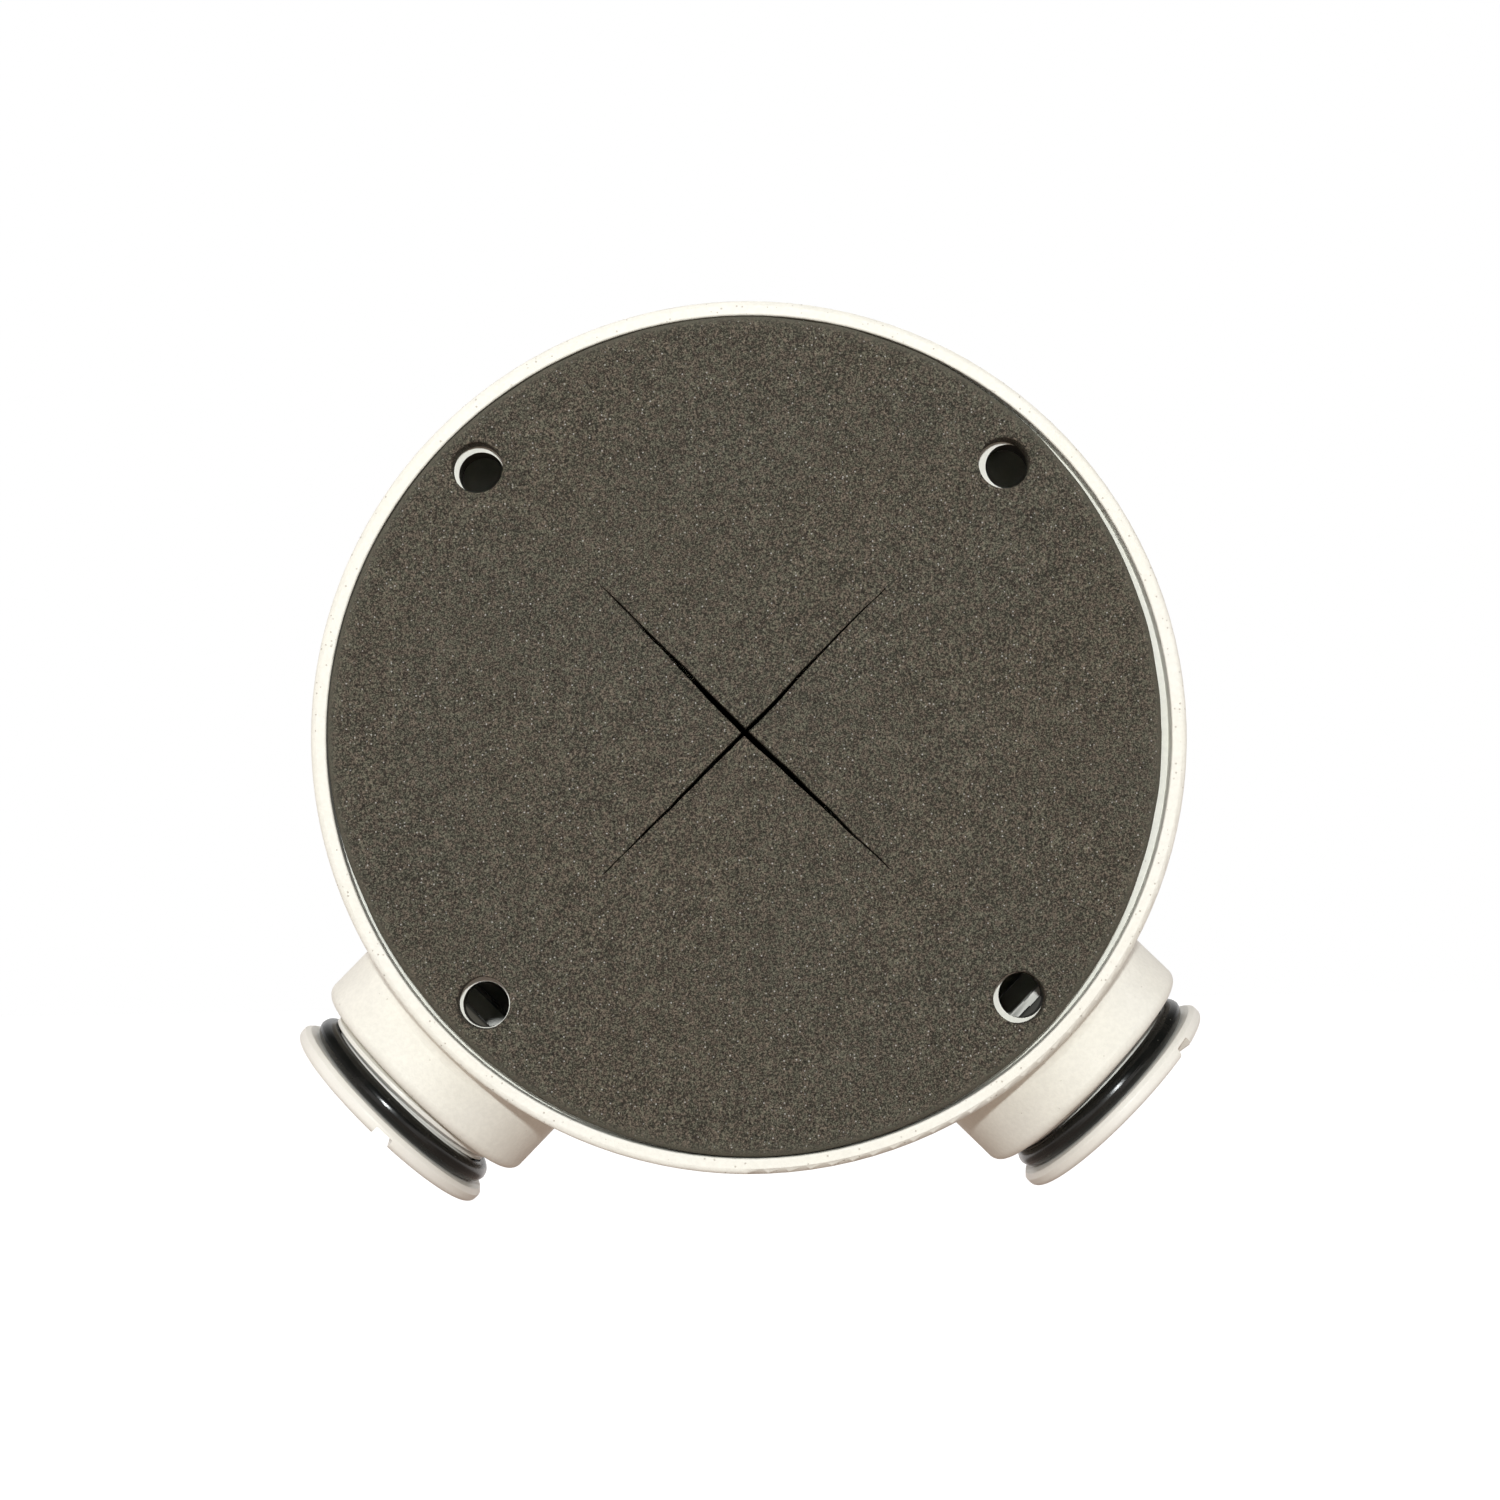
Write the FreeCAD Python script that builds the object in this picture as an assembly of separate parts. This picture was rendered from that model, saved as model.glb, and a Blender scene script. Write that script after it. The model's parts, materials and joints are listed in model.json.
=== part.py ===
import FreeCAD, Part
import math
import os

# Camera junction box wall bracket. Millimetres, +Z up.
# The wall lies in the plane Y = 0, the cover faces +Y.

# Housing drum
BODY_DIA = 107.0
SIDE_WALL = 2.6
BACK_WALL = 2.8
CAVITY_DRAFT_DEG = 1.0
CAVITY_CORNER = 2.0
CABLE_HOLE_DIA = 37.0
CABLE_HOLE_ROUND = 0.6

# Raised lip and the recess that holds the gasket
LIP_WIDTH = 1.9
LIP_SET_BACK = 0.4
LIP_OUTER_ROUND = 0.7
LIP_INNER_ROUND = 0.25
GASKET_THICK = 2.9

# Foam gasket
GASKET_CLEARANCE = 0.55
GASKET_SHIFT_X = -0.28
GASKET_SHIFT_Z = 0.28
GASKET_EDGE_ROUND = 0.5
GASKET_HOLE_EXTRA = 0.6
SLIT_PAST_HOLE = 6.5
SLIT_WIDTH_FALLING = 0.8
SLIT_WIDTH_RISING = 0.45
SLIT_TIP_WIDTH = 0.16

# Wall screw holes
WALL_SCREW_INSET = 5.45
WALL_SCREW_HOLE_DIA = 5.6
WALL_SCREW_COUNT = 4
WALL_SCREW_START_DEG = 45.0
WALL_PAD_DIA = 9.0
WALL_PAD_HEIGHT = 0.8

# Conduit bosses, 3/4 inch pipe thread
THREAD_MAJOR_DIA = 26.44
THREAD_PITCH = 1.814
THREAD_CLEARANCE = 0.05
THREAD_ENTRY_CHAMFER = 0.6
BOSS_WALL = 3.4
BOSS_STANDOUT = 7.3
BOSS_BEHIND_WALL_FACE = 3.8
BOSS_BEFORE_MOUTH = 2.0
BOSS_END_ROUND = 1.4
BOSS_ROOT_ROUND = 1.6
ROOT_ROUND_MARGIN = 0.3
BOSS_BELOW_DEG = 45.0

# Screw plugs
FLANGE_OVERHANG = 2.28
FLANGE_THICK = 2.0
FLANGE_UNDER_CHAMFER = 0.5
FLANGE_FACE_ROUND = 0.8
SHANK_LENGTH = 17.5
SHANK_WALL = 2.6
SHANK_END_CHAMFER = 0.5
COIN_SLOT_WIDTH = 2.6
COIN_SLOT_DEPTH = 1.1
PLUG_WEB = 3.4
SEAL_SECTION_DIA = 2.62
SEAL_INNER_DIA = 23.5
SEAL_CLEARANCE = 0.05
LEFT_TURNS_OUT = 1.02
RIGHT_TURNS_OUT = 0.496
LEFT_SLOT_DEG = -7.6
RIGHT_SLOT_DEG = -40.0

# Cover
COVER_THICK = 6.0
COVER_SKIN = 3.6
COVER_EDGE_ROUND = 2.2
COVER_POCKET_INSET = 2.7
COVER_CABLE_HOLE_DIA = 26.0
COVER_CABLE_HOLE_ROUND = 1.0
REGISTER_HEIGHT = 1.6
REGISTER_WIDTH = 1.6
REGISTER_CLEARANCE = 0.3
COVER_SEAL_WIDTH = 1.2
COVER_SEAL_HEIGHT = 1.2
COVER_SEAL_CLEARANCE = 0.05

# Camera fixing holes in the cover
CAMERA_SCREW_DIA = 4.0
CAMERA_BOSS_DIA = 8.6
CAMERA_THREE_PCD = 70.0
CAMERA_THREE_START_DEG = 90.0
CAMERA_FOUR_PCD = 60.0
CAMERA_FOUR_START_DEG = 45.0

# Cover screws with washers and retaining clips
COVER_SCREW_INSET = 4.9
COVER_SCREW_COUNT = 4
COVER_SCREW_DIA = 4.0
COVER_SCREW_GRIP = 9.0
COVER_SCREW_CLEARANCE = 0.25
TAPPED_CLEARANCE = 0.05
TAPPED_EXTRA_DEPTH = 2.0
PILLAR_DIA = 9.6
PILLAR_WEB = 6.0
HEAD_DIA = 7.2
HEAD_HEIGHT = 2.2
HEAD_ROUND = 0.8
HEAD_SOCKET = 2.5
HEAD_SOCKET_DEPTH = 1.3
WASHER_DIA = 7.8
WASHER_THICK = 0.8
COUNTERBORE_CLEARANCE = 0.3
CLIP_DIA = 6.4
CLIP_THICK = 0.7
CLIP_POCKET_DEPTH = 1.0

# Ground screw inside
GROUND_INSET = 17.4
GROUND_DEG = 112.0
GROUND_BOSS_DIA = 9.0
GROUND_BOSS_HEIGHT = 5.0
GROUND_SCREW_DIA = 4.0
GROUND_SCREW_LENGTH = 5.0
GROUND_WASHER_DIA = 8.6
GROUND_WASHER_THICK = 0.9

# Sizes that follow
ORIGIN = FreeCAD.Vector(0, 0, 0)
DEPTH_AXIS = FreeCAD.Vector(0, 1, 0)
TOWARD_WALL = FreeCAD.Vector(0, -1, 0)
BODY_R = BODY_DIA / 2
RECESS_R = BODY_R - LIP_WIDTH
FLOOR_OUT = GASKET_THICK
FLOOR_IN = FLOOR_OUT + BACK_WALL
MOUTH_R = BODY_R - SIDE_WALL
GASKET_R = RECESS_R - GASKET_CLEARANCE
BORE_R = THREAD_MAJOR_DIA / 2
SHANK_R = BORE_R - THREAD_CLEARANCE
BOSS_R = BORE_R + BOSS_WALL
FLANGE_R = BORE_R + FLANGE_OVERHANG
BOSS_REACH = BODY_R + BOSS_STANDOUT
BOSS_AXIS_DEPTH = BOSS_BEHIND_WALL_FACE + BOSS_R
BODY_DEPTH = BOSS_AXIS_DEPTH + BOSS_R + BOSS_BEFORE_MOUTH
WALL_SCREW_PCD = 2 * (RECESS_R - WALL_SCREW_INSET)
COVER_SCREW_PCD = 2 * (MOUTH_R - COVER_SCREW_INSET)
COVER_POCKET_DIA = COVER_SCREW_PCD - PILLAR_DIA - 2 * COVER_POCKET_INSET
GROUND_RADIUS = MOUTH_R - GROUND_INSET
SLIT_LENGTH = CABLE_HOLE_DIA + 2 * SLIT_PAST_HOLE
SEAL_SECTION_R = SEAL_SECTION_DIA / 2
SEAL_RING_R = SEAL_INNER_DIA / 2 + SEAL_SECTION_R
NECK_R = SEAL_INNER_DIA / 2 - SEAL_CLEARANCE
COVER_TOP = BODY_DEPTH + COVER_THICK
LEFT_GAP = LEFT_TURNS_OUT * THREAD_PITCH
RIGHT_GAP = RIGHT_TURNS_OUT * THREAD_PITCH
ROOT_ROOM_WALL_SIDE = BOSS_BEHIND_WALL_FACE - LIP_SET_BACK - LIP_OUTER_ROUND
ROOT_ROOM = min(BOSS_BEFORE_MOUTH, ROOT_ROOM_WALL_SIDE) - ROOT_ROUND_MARGIN
OVERRUN = 1.0


def outline(points):
    """Closed wire through (radius, depth) points in the XY plane."""
    corners = [FreeCAD.Vector(r, y, 0) for r, y in points]
    return Part.makePolygon(corners + corners[:1])


def turned(points):
    """Solid of revolution about the depth axis."""
    solid = Part.Face(outline(points)).revolve(ORIGIN, DEPTH_AXIS, 360)
    return upright(solid)


def upright(solid):
    """The same solid with its faces pointing outward."""
    if solid.Volume < 0:
        solid.reverse()
    return solid


def rod(dia, start, end, x=0.0, z=0.0):
    """Cylinder along the depth axis between two depths."""
    base = FreeCAD.Vector(x, start, z)
    return Part.makeCylinder(dia / 2, end - start, base, DEPTH_AXIS)


def washer(outer_dia, inner_dia, start, end, x=0.0, z=0.0):
    """Flat ring along the depth axis."""
    return rod(outer_dia, start, end, x, z).cut(rod(inner_dia, start, end, x, z))


def circle_places(pcd, count, start_deg):
    """X and Z of evenly spaced places on a pitch circle."""
    places = []
    for index in range(count):
        angle = math.radians(start_deg + 360.0 * index / count)
        places.append((pcd / 2 * math.cos(angle), pcd / 2 * math.sin(angle)))
    return places


def circle_edges(shape, radius, depth, tolerance=0.02):
    """Full circles about the body axis with a given radius at a given depth."""
    found = []
    for edge in shape.Edges:
        curve = edge.Curve
        if not isinstance(curve, Part.Circle):
            continue
        centre = curve.Center
        on_axis = math.hypot(centre.x, centre.z) < tolerance
        if on_axis and abs(curve.Radius - radius) < tolerance and abs(centre.y - depth) < tolerance:
            found.append(edge)
    return found


def conduit_frame(side):
    """Placement of a boss: Z runs outward, X faces the wall."""
    angle = math.radians(BOSS_BELOW_DEG)
    outward = FreeCAD.Vector(side * math.sin(angle), 0, -math.cos(angle))
    across = outward.cross(TOWARD_WALL)
    turn = FreeCAD.Rotation(TOWARD_WALL, across, outward, "ZXY")
    return FreeCAD.Placement(FreeCAD.Vector(0, BOSS_AXIS_DEPTH, 0), turn)


def on_conduit(shape, side):
    """Copy of a shape drawn along Z, set on one conduit axis."""
    placed = shape.copy()
    placed.Placement = conduit_frame(side).multiply(placed.Placement)
    return placed


def turned_along_z(points):
    """Solid of revolution about Z from (radius, height) points."""
    corners = [FreeCAD.Vector(r, 0, h) for r, h in points]
    face = Part.Face(Part.makePolygon(corners + corners[:1]))
    return upright(face.revolve(ORIGIN, FreeCAD.Vector(0, 0, 1), 360))


def boss_blank():
    """Solid round boss with a rounded end, drawn along Z."""
    blank = Part.makeCylinder(BOSS_R, BOSS_REACH)
    end_edges = [e for e in blank.Edges if abs(e.CenterOfMass.z - BOSS_REACH) < 0.01]
    return blank.makeFillet(BOSS_END_ROUND, end_edges)


def boss_bore():
    """Thread bore with its entry chamfer, drawn along Z."""
    inner_end = MOUTH_R - SHANK_LENGTH
    mouth = BOSS_REACH - THREAD_ENTRY_CHAMFER
    wide = BORE_R + THREAD_ENTRY_CHAMFER
    points = [(0, inner_end), (BORE_R, inner_end), (BORE_R, mouth), (wide, BOSS_REACH),
              (wide, BOSS_REACH + OVERRUN), (0, BOSS_REACH + OVERRUN)]
    return turned_along_z(points)


def cavity():
    """Drafted hollow of the housing with a rounded floor corner."""
    draft = math.tan(math.radians(CAVITY_DRAFT_DEG))
    floor_r = MOUTH_R - draft * (BODY_DEPTH - FLOOR_IN)
    past = BODY_DEPTH + OVERRUN
    past_r = MOUTH_R + draft * OVERRUN
    hollow = turned([(0, FLOOR_IN), (floor_r, FLOOR_IN), (past_r, past), (0, past)])
    return hollow.makeFillet(CAVITY_CORNER, circle_edges(hollow, floor_r, FLOOR_IN))


def drum():
    """Outer drum with the gasket recess, before it is hollowed."""
    blank = turned([(0, FLOOR_OUT), (RECESS_R, FLOOR_OUT), (RECESS_R, LIP_SET_BACK),
                    (BODY_R, LIP_SET_BACK), (BODY_R, BODY_DEPTH), (0, BODY_DEPTH)])
    blank = blank.makeFillet(LIP_OUTER_ROUND, circle_edges(blank, BODY_R, LIP_SET_BACK))
    return blank.makeFillet(LIP_INNER_ROUND, circle_edges(blank, RECESS_R, LIP_SET_BACK))


def drum_with_bosses():
    """Drum and both bosses with a rounded root between them."""
    joined = drum()
    for side in (-1, 1):
        joined = joined.fuse(on_conduit(boss_blank(), side))
    joined = joined.removeSplitter()
    roots = []
    for edge in joined.Edges:
        centre = edge.CenterOfMass
        reach = max(math.hypot(v.Point.x, v.Point.z) for v in edge.Vertexes)
        curved = not isinstance(edge.Curve, (Part.Circle, Part.Line))
        if curved and abs(reach - BODY_R) < 0.05 and FLOOR_IN < centre.y < BODY_DEPTH:
            roots.append(edge)
    return joined.makeFillet(min(BOSS_ROOT_ROUND, ROOT_ROOM), roots)


def pillar(x, z):
    """Cover screw pillar tied to the side wall by a web."""
    post = rod(PILLAR_DIA, FLOOR_IN - OVERRUN, BODY_DEPTH, x, z)
    length = BODY_R - SIDE_WALL / 2 - math.hypot(x, z)
    web = Part.makeBox(length, BODY_DEPTH - FLOOR_IN + OVERRUN, PILLAR_WEB)
    web.translate(FreeCAD.Vector(math.hypot(x, z), FLOOR_IN - OVERRUN, -PILLAR_WEB / 2))
    web.rotate(ORIGIN, DEPTH_AXIS, -math.degrees(math.atan2(z, x)))
    return post.fuse(web)


def ground_place():
    """X and Z of the ground screw."""
    angle = math.radians(GROUND_DEG)
    return GROUND_RADIUS * math.cos(angle), GROUND_RADIUS * math.sin(angle)


def housing():
    """One-piece die-cast housing."""
    shell = drum_with_bosses().cut(cavity())
    inside = rod(BODY_DIA - SIDE_WALL, FLOOR_OUT, BODY_DEPTH)
    additions = []
    for x, z in circle_places(COVER_SCREW_PCD, COVER_SCREW_COUNT, 0.0):
        additions.append(pillar(x, z))
    for x, z in circle_places(WALL_SCREW_PCD, WALL_SCREW_COUNT, WALL_SCREW_START_DEG):
        additions.append(rod(WALL_PAD_DIA, FLOOR_IN - OVERRUN, FLOOR_IN + WALL_PAD_HEIGHT, x, z))
    ground_x, ground_z = ground_place()
    ground_top = FLOOR_IN + GROUND_BOSS_HEIGHT
    additions.append(rod(GROUND_BOSS_DIA, FLOOR_IN - OVERRUN, ground_top, ground_x, ground_z))
    for piece in additions:
        shell = shell.fuse(piece.common(inside))
    cuts = [rod(CABLE_HOLE_DIA, -OVERRUN, FLOOR_IN + OVERRUN)]
    for side in (-1, 1):
        cuts.append(on_conduit(boss_bore(), side))
    for x, z in circle_places(WALL_SCREW_PCD, WALL_SCREW_COUNT, WALL_SCREW_START_DEG):
        pad_top = FLOOR_IN + WALL_PAD_HEIGHT
        cuts.append(rod(WALL_SCREW_HOLE_DIA, -OVERRUN, pad_top + OVERRUN, x, z))
    tapped_dia = COVER_SCREW_DIA + 2 * TAPPED_CLEARANCE
    tapped_floor = BODY_DEPTH - COVER_SCREW_GRIP - TAPPED_EXTRA_DEPTH
    for x, z in circle_places(COVER_SCREW_PCD, COVER_SCREW_COUNT, 0.0):
        cuts.append(rod(tapped_dia, tapped_floor, BODY_DEPTH + OVERRUN, x, z))
    ground_dia = GROUND_SCREW_DIA + 2 * TAPPED_CLEARANCE
    ground_floor = ground_top - GROUND_SCREW_LENGTH
    cuts.append(rod(ground_dia, ground_floor, ground_top + OVERRUN, ground_x, ground_z))
    for cutter in cuts:
        shell = shell.cut(cutter)
    rims = circle_edges(shell, CABLE_HOLE_DIA / 2, FLOOR_OUT)
    rims += circle_edges(shell, CABLE_HOLE_DIA / 2, FLOOR_IN)
    return shell.makeFillet(CABLE_HOLE_ROUND, rims)


def slit(width, lean_deg):
    """Thin tapering cut through the gasket, leaning from the X axis."""
    half = SLIT_LENGTH / 2
    points = [(-half, SLIT_TIP_WIDTH / 2), (0, width / 2), (half, SLIT_TIP_WIDTH / 2),
              (half, -SLIT_TIP_WIDTH / 2), (0, -width / 2), (-half, -SLIT_TIP_WIDTH / 2)]
    corners = [FreeCAD.Vector(x, -OVERRUN, z) for x, z in points]
    face = Part.Face(Part.makePolygon(corners + corners[:1]))
    blade = face.extrude(FreeCAD.Vector(0, GASKET_THICK + 2 * OVERRUN, 0))
    blade.rotate(ORIGIN, DEPTH_AXIS, -lean_deg)
    return upright(blade)


def wall_gasket():
    """Foam disc with four screw holes and a cross cut for the cable."""
    foam = rod(2 * GASKET_R, 0, GASKET_THICK)
    foam = foam.makeFillet(GASKET_EDGE_ROUND, circle_edges(foam, GASKET_R, 0))
    hole_dia = WALL_SCREW_HOLE_DIA + GASKET_HOLE_EXTRA
    for x, z in circle_places(WALL_SCREW_PCD, WALL_SCREW_COUNT, WALL_SCREW_START_DEG):
        foam = foam.cut(rod(hole_dia, -OVERRUN, GASKET_THICK + OVERRUN, x, z))
    foam = foam.cut(slit(SLIT_WIDTH_RISING, 45.0).fuse(slit(SLIT_WIDTH_FALLING, -45.0)))
    foam.translate(FreeCAD.Vector(GASKET_SHIFT_X, 0, GASKET_SHIFT_Z))
    return foam


def plug(side, gap, slot_deg):
    """Hollow screw plug with a coin slot, on one conduit axis."""
    under = BOSS_REACH + gap + SEAL_SECTION_DIA + SEAL_CLEARANCE
    face = under + FLANGE_THICK
    inner_end = under - SHANK_LENGTH
    neck_start = under - SEAL_SECTION_DIA - 2 * SEAL_CLEARANCE
    hollow_r = SHANK_R - SHANK_WALL
    tip_r = SHANK_R - SHANK_END_CHAMFER
    points = [(hollow_r, inner_end), (tip_r, inner_end), (SHANK_R, inner_end + SHANK_END_CHAMFER),
              (SHANK_R, neck_start), (NECK_R, neck_start), (NECK_R, under),
              (FLANGE_R - FLANGE_UNDER_CHAMFER, under), (FLANGE_R, under + FLANGE_UNDER_CHAMFER),
              (FLANGE_R, face), (0, face), (0, face - PLUG_WEB), (hollow_r, face - PLUG_WEB)]
    body = turned_along_z(points)
    rim = [e for e in body.Edges
           if isinstance(e.Curve, Part.Circle) and abs(e.Curve.Radius - FLANGE_R) < 0.01
           and abs(e.Curve.Center.z - face) < 0.01]
    body = body.makeFillet(FLANGE_FACE_ROUND, rim)
    slot = Part.makeBox(2 * FLANGE_R + 2 * OVERRUN, COIN_SLOT_WIDTH, COIN_SLOT_DEPTH + OVERRUN)
    slot.translate(FreeCAD.Vector(-FLANGE_R - OVERRUN, -COIN_SLOT_WIDTH / 2, face - COIN_SLOT_DEPTH))
    slot.rotate(ORIGIN, FreeCAD.Vector(0, 0, 1), slot_deg)
    return on_conduit(body.cut(slot), side)


def plug_seal_ring(side, gap):
    """Round rubber ring under a plug's flange."""
    centre = FreeCAD.Vector(0, 0, BOSS_REACH + gap + SEAL_SECTION_R)
    ring = Part.makeTorus(SEAL_RING_R, SEAL_SECTION_R, centre, FreeCAD.Vector(0, 0, 1))
    return on_conduit(ring, side)


def camera_places():
    """Every camera fixing hole in the cover."""
    three = circle_places(CAMERA_THREE_PCD, 3, CAMERA_THREE_START_DEG)
    return three + circle_places(CAMERA_FOUR_PCD, 4, CAMERA_FOUR_START_DEG)


def seal_groove_radii():
    """Inner and outer radius of the cover seal in the middle of the mouth rim."""
    middle = (BODY_R + MOUTH_R) / 2
    return middle - COVER_SEAL_WIDTH / 2, middle + COVER_SEAL_WIDTH / 2


def cover_plate():
    """Round cover with a register rib, camera holes and screw seats."""
    plate = rod(BODY_DIA, BODY_DEPTH, COVER_TOP)
    plate = plate.makeFillet(COVER_EDGE_ROUND, circle_edges(plate, BODY_R, COVER_TOP))
    pocket = rod(COVER_POCKET_DIA, BODY_DEPTH - OVERRUN, COVER_TOP - COVER_SKIN)
    for x, z in camera_places():
        pocket = pocket.cut(rod(CAMERA_BOSS_DIA, BODY_DEPTH, COVER_TOP, x, z))
    plate = plate.cut(pocket)
    drafted = REGISTER_HEIGHT * math.tan(math.radians(CAVITY_DRAFT_DEG))
    rib_dia = 2 * (MOUTH_R - REGISTER_CLEARANCE - drafted)
    rib_end = BODY_DEPTH - REGISTER_HEIGHT
    rib = washer(rib_dia, rib_dia - 2 * REGISTER_WIDTH, rib_end, BODY_DEPTH + OVERRUN)
    gap_dia = PILLAR_DIA + 2 * REGISTER_WIDTH
    screws = circle_places(COVER_SCREW_PCD, COVER_SCREW_COUNT, 0.0)
    for x, z in screws:
        rib = rib.cut(rod(gap_dia, rib_end - OVERRUN, BODY_DEPTH, x, z))
    plate = plate.fuse(rib)
    seal_in, seal_out = seal_groove_radii()
    groove_in = 2 * (seal_in - COVER_SEAL_CLEARANCE)
    groove_out = 2 * (seal_out + COVER_SEAL_CLEARANCE)
    groove_top = BODY_DEPTH + COVER_SEAL_HEIGHT
    plate = plate.cut(washer(groove_out, groove_in, BODY_DEPTH - OVERRUN, groove_top))
    bore_dia = COVER_SCREW_DIA + 2 * COVER_SCREW_CLEARANCE
    seat_dia = WASHER_DIA + 2 * COUNTERBORE_CLEARANCE
    seat_floor = COVER_TOP - HEAD_HEIGHT - WASHER_THICK
    pocket_dia = CLIP_DIA + 2 * COUNTERBORE_CLEARANCE
    pocket_top = BODY_DEPTH + CLIP_POCKET_DEPTH
    for x, z in screws:
        plate = plate.cut(rod(bore_dia, BODY_DEPTH - OVERRUN, COVER_TOP, x, z))
        plate = plate.cut(rod(seat_dia, seat_floor, COVER_TOP + OVERRUN, x, z))
        plate = plate.cut(rod(pocket_dia, BODY_DEPTH - OVERRUN, pocket_top, x, z))
    for x, z in camera_places():
        plate = plate.cut(rod(CAMERA_SCREW_DIA, BODY_DEPTH - OVERRUN, COVER_TOP + OVERRUN, x, z))
    plate = plate.cut(rod(COVER_CABLE_HOLE_DIA, BODY_DEPTH - OVERRUN, COVER_TOP + OVERRUN))
    rims = circle_edges(plate, COVER_CABLE_HOLE_DIA / 2, COVER_TOP)
    return plate.makeFillet(COVER_CABLE_HOLE_ROUND, rims)


def cover_seal():
    """Rubber ring in the cover's groove."""
    seal_in, seal_out = seal_groove_radii()
    return washer(2 * seal_out, 2 * seal_in, BODY_DEPTH, BODY_DEPTH + COVER_SEAL_HEIGHT)


def hexagon(across_flats, start, depth, x, z):
    """Hexagonal prism along the depth axis."""
    corner = across_flats / math.sqrt(3)
    points = []
    for index in range(6):
        angle = math.radians(60 * index)
        corner_x = x + corner * math.cos(angle)
        corner_z = z + corner * math.sin(angle)
        points.append(FreeCAD.Vector(corner_x, start, corner_z))
    face = Part.Face(Part.makePolygon(points + points[:1]))
    return upright(face.extrude(FreeCAD.Vector(0, depth, 0)))


def button_screw(dia, seat, length, x, z):
    """Button head screw with a hexagon socket, its head seated at one depth."""
    top = seat + HEAD_HEIGHT
    head = rod(HEAD_DIA, seat, top, x, z)
    rim = [e for e in head.Edges if abs(e.CenterOfMass.y - top) < 0.01]
    head = head.makeFillet(HEAD_ROUND, rim)
    shank = rod(dia, seat - length, seat, x, z)
    socket_floor = top - HEAD_SOCKET_DEPTH
    socket = hexagon(HEAD_SOCKET, socket_floor, HEAD_SOCKET_DEPTH + OVERRUN, x, z)
    return head.fuse(shank).cut(socket)


def cover_fasteners():
    """Screw, washer and retaining clip of each cover fixing."""
    seat = COVER_TOP - HEAD_HEIGHT
    length = seat - BODY_DEPTH + COVER_SCREW_GRIP
    loose_dia = COVER_SCREW_DIA + 2 * TAPPED_CLEARANCE
    under_head = seat - WASHER_THICK
    clip_top = BODY_DEPTH + CLIP_POCKET_DEPTH
    clip_base = clip_top - CLIP_THICK
    screws = circle_places(COVER_SCREW_PCD, COVER_SCREW_COUNT, 0.0)
    nodes = {}
    for number, (x, z) in enumerate(screws, start=1):
        nodes["cover_screw_%d" % number] = button_screw(COVER_SCREW_DIA, seat, length, x, z)
        nodes["cover_washer_%d" % number] = washer(WASHER_DIA, loose_dia, under_head, seat, x, z)
        nodes["cover_screw_clip_%d" % number] = washer(CLIP_DIA, loose_dia, clip_base, clip_top, x, z)
    return nodes


def ground_fasteners():
    """Ground screw and its washer on the housing floor."""
    x, z = ground_place()
    top = FLOOR_IN + GROUND_BOSS_HEIGHT
    seat = top + GROUND_WASHER_THICK
    loose_dia = GROUND_SCREW_DIA + 2 * TAPPED_CLEARANCE
    screw = button_screw(GROUND_SCREW_DIA, seat, GROUND_SCREW_LENGTH, x, z)
    return {"ground_screw": screw,
            "ground_washer": washer(GROUND_WASHER_DIA, loose_dia, top, seat, x, z)}


def build_nodes():
    """Every piece by its name."""
    nodes = {
        "housing": housing(),
        "wall_gasket": wall_gasket(),
        "cover_plate": cover_plate(),
        "cover_seal": cover_seal(),
        "left_plug": plug(-1, LEFT_GAP, LEFT_SLOT_DEG),
        "right_plug": plug(1, RIGHT_GAP, RIGHT_SLOT_DEG),
        "left_plug_seal_ring": plug_seal_ring(-1, LEFT_GAP),
        "right_plug_seal_ring": plug_seal_ring(1, RIGHT_GAP),
    }
    nodes.update(cover_fasteners())
    nodes.update(ground_fasteners())
    return nodes


os.makedirs("parts", exist_ok=True)
for name, shape in build_nodes().items():
    shape.exportStep("parts/%s.step" % name)
    print(name, len(shape.Solids), round(shape.Volume, 2), shape.isValid())
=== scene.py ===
import bmesh
import bpy
import json
import math
import random
from mathutils import Matrix, Vector, noise
from mathutils.geometry import delaunay_2d_cdt


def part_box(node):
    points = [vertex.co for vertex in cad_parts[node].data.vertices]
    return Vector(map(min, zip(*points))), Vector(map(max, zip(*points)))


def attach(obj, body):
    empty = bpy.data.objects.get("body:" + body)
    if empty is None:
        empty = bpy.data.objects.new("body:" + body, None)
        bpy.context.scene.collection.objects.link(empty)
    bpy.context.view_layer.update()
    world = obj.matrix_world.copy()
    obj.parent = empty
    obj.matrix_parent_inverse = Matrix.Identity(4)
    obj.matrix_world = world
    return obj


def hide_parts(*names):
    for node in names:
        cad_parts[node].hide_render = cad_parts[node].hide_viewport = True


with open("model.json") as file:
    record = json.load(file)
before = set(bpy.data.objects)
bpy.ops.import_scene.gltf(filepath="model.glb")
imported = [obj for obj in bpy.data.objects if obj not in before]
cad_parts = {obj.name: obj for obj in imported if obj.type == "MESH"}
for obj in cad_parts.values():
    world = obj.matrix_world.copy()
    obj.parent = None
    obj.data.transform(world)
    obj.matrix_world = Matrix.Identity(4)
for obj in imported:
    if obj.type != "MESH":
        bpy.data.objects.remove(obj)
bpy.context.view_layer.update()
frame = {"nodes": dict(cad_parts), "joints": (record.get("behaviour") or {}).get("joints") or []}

# Camera junction box, seen from its wall side. Metres; the wall plane is Y = 0 and the cover faces +Y.
MM = 0.001
TURN = 2 * math.pi

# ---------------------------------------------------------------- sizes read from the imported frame


def node_middle(name):
    """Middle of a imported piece's box."""
    low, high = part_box(name)
    return (low + high) / 2


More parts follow.
